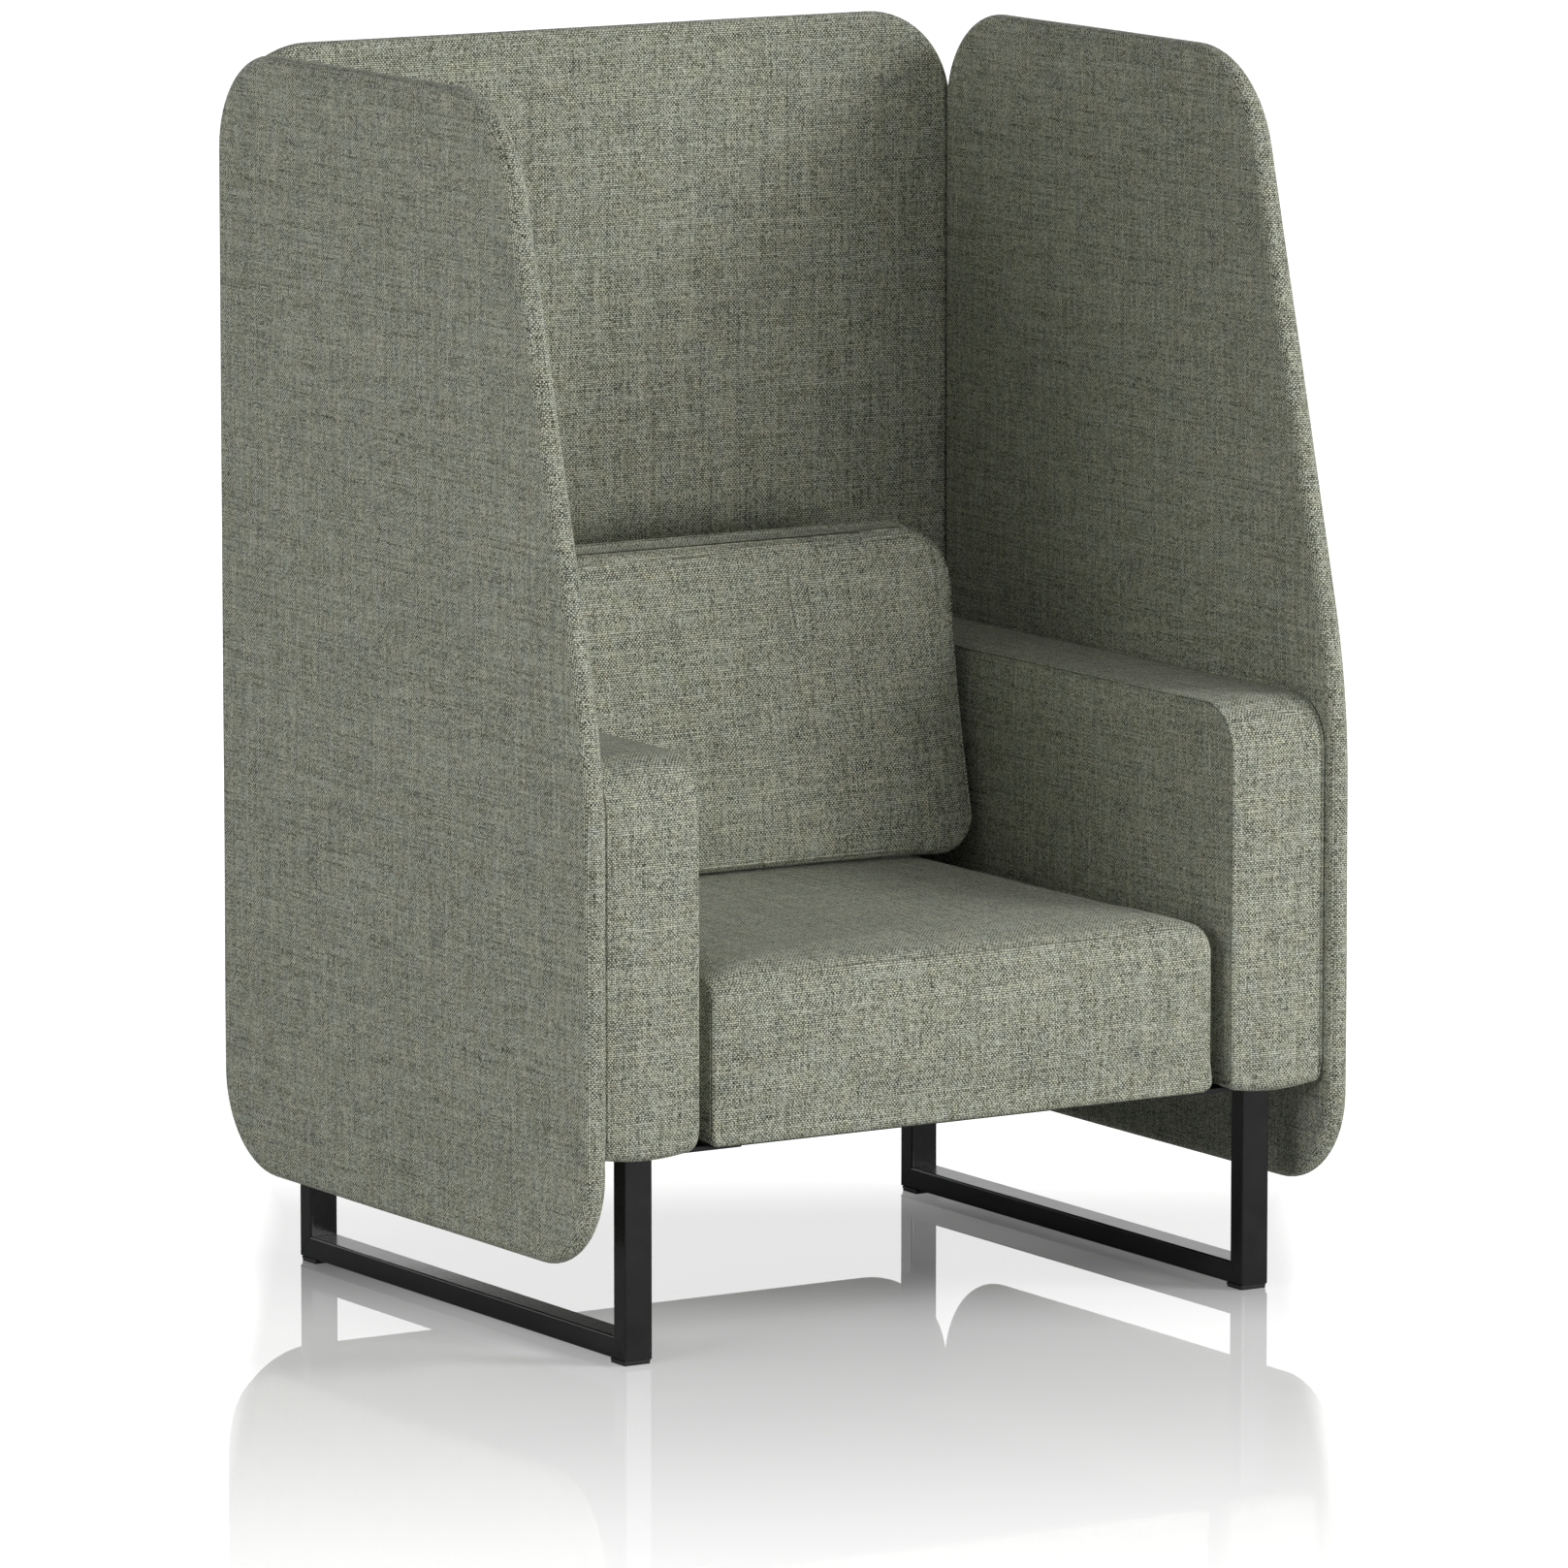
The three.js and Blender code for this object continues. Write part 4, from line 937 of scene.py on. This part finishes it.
def strap_material(name, dark, light, pitch):
    """Flat woven cloth or webbing in one colour."""
    s = Shader(name)
    coordinates = s.node("ShaderNodeTexCoord").outputs["Object"]
    place = s.node("ShaderNodeSeparateXYZ")
    s.link(coordinates, place.inputs[0])
    x, y, _ = place.outputs
    ribs = [s.math("SINE", s.math("MULTIPLY", axis, 2 * math.pi / pitch)) for axis in (x, y)]
    height = s.math("MULTIPLY", ribs[0], ribs[1])
    tone = s.math("MULTIPLY_ADD", height, 0.3, s.noise(coordinates, 300.0, 2.0))
    s.principled(
        Base_Color=s.ramp(tone, ((0.3, dark), (0.8, light))),
        Roughness=0.9,
        Normal=s.bump(height, 0.0002, 0.5),
    )
    return s.material


MATERIALS = {
    "fabric": fabric_material(),
    "screen_board": wood_material("fibreboard", "#9a7c50", "#c2a272", 60.0),
    "timber": wood_material("plywood", "#b08b58", "#d8bb8b", 22.0),
    "webbing": strap_material("elastic_webbing", "#1a1a1c", "#3e3e42", 0.0016),
    "dust_cloth": strap_material("dust_cloth", "#0f0f10", "#29292b", 0.0012),
    "black_steel": steel_material(),
    "bolt_steel": bolt_material(),
    "glide_plastic": plastic_material("glide_plastic", "#121212", "#1c1c1c", 0.5, 900.0),
    "glide_sole": plastic_material("glide_sole", "#191919", "#2a2a2a", 0.85, 1500.0),
}


def dress_carried_nodes():
    """Finishes for the CAD nodes that stay as they are."""
    for entry in frame["record"]["subparts"]:
        slot = entry["material_slot"]
        node = NODES[entry["node"]]
        material = MATERIALS["fabric"] if slot.startswith("fabric") else MATERIALS[slot]
        node.data.materials.clear()
        node.data.materials.append(material)


# Floor and light: levels, and the reach of each passage in metres from the middle of the chair
FLOOR_SIZE = 30.0
FLOOR_ALBEDO = 0.6
FLOOR_SHADOW = 2.4
FLOOR_GLOW = (0.56, 2.6)
FLOOR_WHITE_BEHIND = (0.3, 0.8)
FLOOR_WHITE_BESIDE = (0.56, 0.63)
FLOOR_ROUGHNESS = 0.01
FLOOR_MIRROR = (0.2, 0.55)
FLOOR_MIRROR_REACH = (-2.0, -0.3)
FLOOR_MIRROR_RISE = (-0.35, 0.1)
FLOOR_MIRROR_MORE = 0.27
AMBIENT = 0.176
LIGHT_DISTANCE = 7.0
LIGHT_SIZE = 2.4
LIGHT_TARGET = Vector((0, 0, 0.7))
LIGHTS = {
    "front": {"azimuth": 5, "elevation": 3, "power": 58},
    "key": {"azimuth": 20, "elevation": 3, "power": 109},
    "high_key": {"azimuth": 45, "elevation": 30, "power": 161},
    "left_front": {"azimuth": -70, "elevation": 14, "power": 73},
    "left_side": {"azimuth": -90, "elevation": 3, "power": 66},
    "rear": {"azimuth": 170, "elevation": 8, "power": 80},
}


# Floor, light and camera
def make_floor():
    """White floor: camera rays see it glow, less near the chair, so that shadow and mirror show."""
    corners = [(-FLOOR_SIZE, -FLOOR_SIZE, 0), (FLOOR_SIZE, -FLOOR_SIZE, 0)]
    corners += [(FLOOR_SIZE, FLOOR_SIZE, 0), (-FLOOR_SIZE, FLOOR_SIZE, 0)]
    floor = mesh_object("floor", corners, [(0, 1, 2, 3)])
    s = Shader("pale_floor")
    place = s.node("ShaderNodeTexCoord").outputs["Object"]
    seen = s.node("ShaderNodeLightPath").outputs["Is Camera Ray"]
    away = (CAMERA_TARGET - CAMERA_PLACE).to_2d().normalized().to_3d()
    depth = s.along(place, away)
    aside = s.math("ABSOLUTE", s.along(place, away.cross(Vector((0, 0, 1)))))

    diffuse = s.node("ShaderNodeBsdfDiffuse")
    albedo = s.blend(seen, FLOOR_ALBEDO, FLOOR_ALBEDO * FLOOR_SHADOW)
    s.link(s.combine(albedo, albedo, albedo), diffuse.inputs["Color"])
    glow = s.node("ShaderNodeEmission")
    behind = s.spread(depth, FLOOR_WHITE_BEHIND, FLOOR_GLOW)
    beside = s.spread(aside, FLOOR_WHITE_BESIDE, FLOOR_GLOW)
    s.link(s.math("MULTIPLY", seen, s.math("MAXIMUM", behind, beside)), glow.inputs["Strength"])
    base = s.node("ShaderNodeAddShader")
    s.link(diffuse.outputs[0], base.inputs[0])
    s.link(glow.outputs[0], base.inputs[1])
    mirror = s.node("ShaderNodeBsdfGlossy")
    mirror.inputs["Roughness"].default_value = FLOOR_ROUGHNESS
    mixed = s.node("ShaderNodeMixShader")
    in_front = s.spread(depth, FLOOR_MIRROR_REACH, FLOOR_MIRROR)
    share = s.math("ADD", in_front, s.spread(depth, FLOOR_MIRROR_RISE, (0.0, FLOOR_MIRROR_MORE)))
    s.link(s.math("MULTIPLY", seen, share), mixed.inputs["Fac"])
    s.link(base.outputs[0], mixed.inputs[1])
    s.link(mirror.outputs[0], mixed.inputs[2])
    s.link(mixed.outputs[0], s.output.inputs["Surface"])
    floor.data.materials.append(s.material)


def make_world():
    world = bpy.data.worlds.new("studio")
    bpy.context.scene.world = world
    world.use_nodes = True
    tree = world.node_tree
    tree.nodes.clear()
    output = tree.nodes.new("ShaderNodeOutputWorld")
    background = tree.nodes.new("ShaderNodeBackground")
    background.inputs["Color"].default_value = (1.0, 1.0, 1.0, 1.0)
    rays = tree.nodes.new("ShaderNodeLightPath")
    seen = rays.outputs["Is Camera Ray"]
    for other in ("Is Glossy Ray", "Is Transmission Ray"):
        either = tree.nodes.new("ShaderNodeMath")
        either.operation = "MAXIMUM"
        tree.links.new(seen, either.inputs[0])
        tree.links.new(rays.outputs[other], either.inputs[1])
        seen = either.outputs[0]
    strength = tree.nodes.new("ShaderNodeMapRange")
    tree.links.new(seen, strength.inputs["Value"])
    strength.inputs["To Min"].default_value = AMBIENT
    strength.inputs["To Max"].default_value = 1.0
    tree.links.new(strength.outputs["Result"], background.inputs["Strength"])
    tree.links.new(background.outputs[0], output.inputs["Surface"])


def make_lights():
    """Soft boxes round the chair: azimuth is from the front towards the chair's +X side."""
    for name, plan in LIGHTS.items():
        lamp = bpy.data.lights.new(name, "AREA")
        lamp.shape = "DISK"
        lamp.size = LIGHT_SIZE
        lamp.energy = plan["power"]
        obj = bpy.data.objects.new(name, lamp)
        bpy.context.scene.collection.objects.link(obj)
        azimuth, elevation = math.radians(plan["azimuth"]), math.radians(plan["elevation"])
        heading = Vector((
            math.sin(azimuth) * math.cos(elevation),
            -math.cos(azimuth) * math.cos(elevation),
            math.sin(elevation),
        ))
        obj.location = LIGHT_TARGET + heading * LIGHT_DISTANCE
        obj.rotation_euler = (-heading).to_track_quat("-Z", "Y").to_euler()


def make_camera():
    camera = bpy.data.cameras.new("camera")
    camera.lens = CAMERA_LENS
    camera.sensor_width = CAMERA_SENSOR
    camera.sensor_fit = "HORIZONTAL"
    camera.clip_end = 100
    obj = bpy.data.objects.new("camera", camera)
    bpy.context.scene.collection.objects.link(obj)
    obj.location = CAMERA_PLACE
    obj.rotation_euler = (CAMERA_TARGET - CAMERA_PLACE).to_track_quat("-Z", "Y").to_euler()
    bpy.context.scene.camera = obj


bpy.context.scene.view_settings.view_transform = "Standard"
# The denoiser's guide passes stay unsmoothed, so that it keeps the weave
bpy.context.scene.cycles.denoising_prefilter = "NONE"
make_camera()
make_world()
make_lights()
make_floor()
dress_carried_nodes()
make_screens()
make_arms()
make_seat()
make_backrest_block()
make_back_cushion()
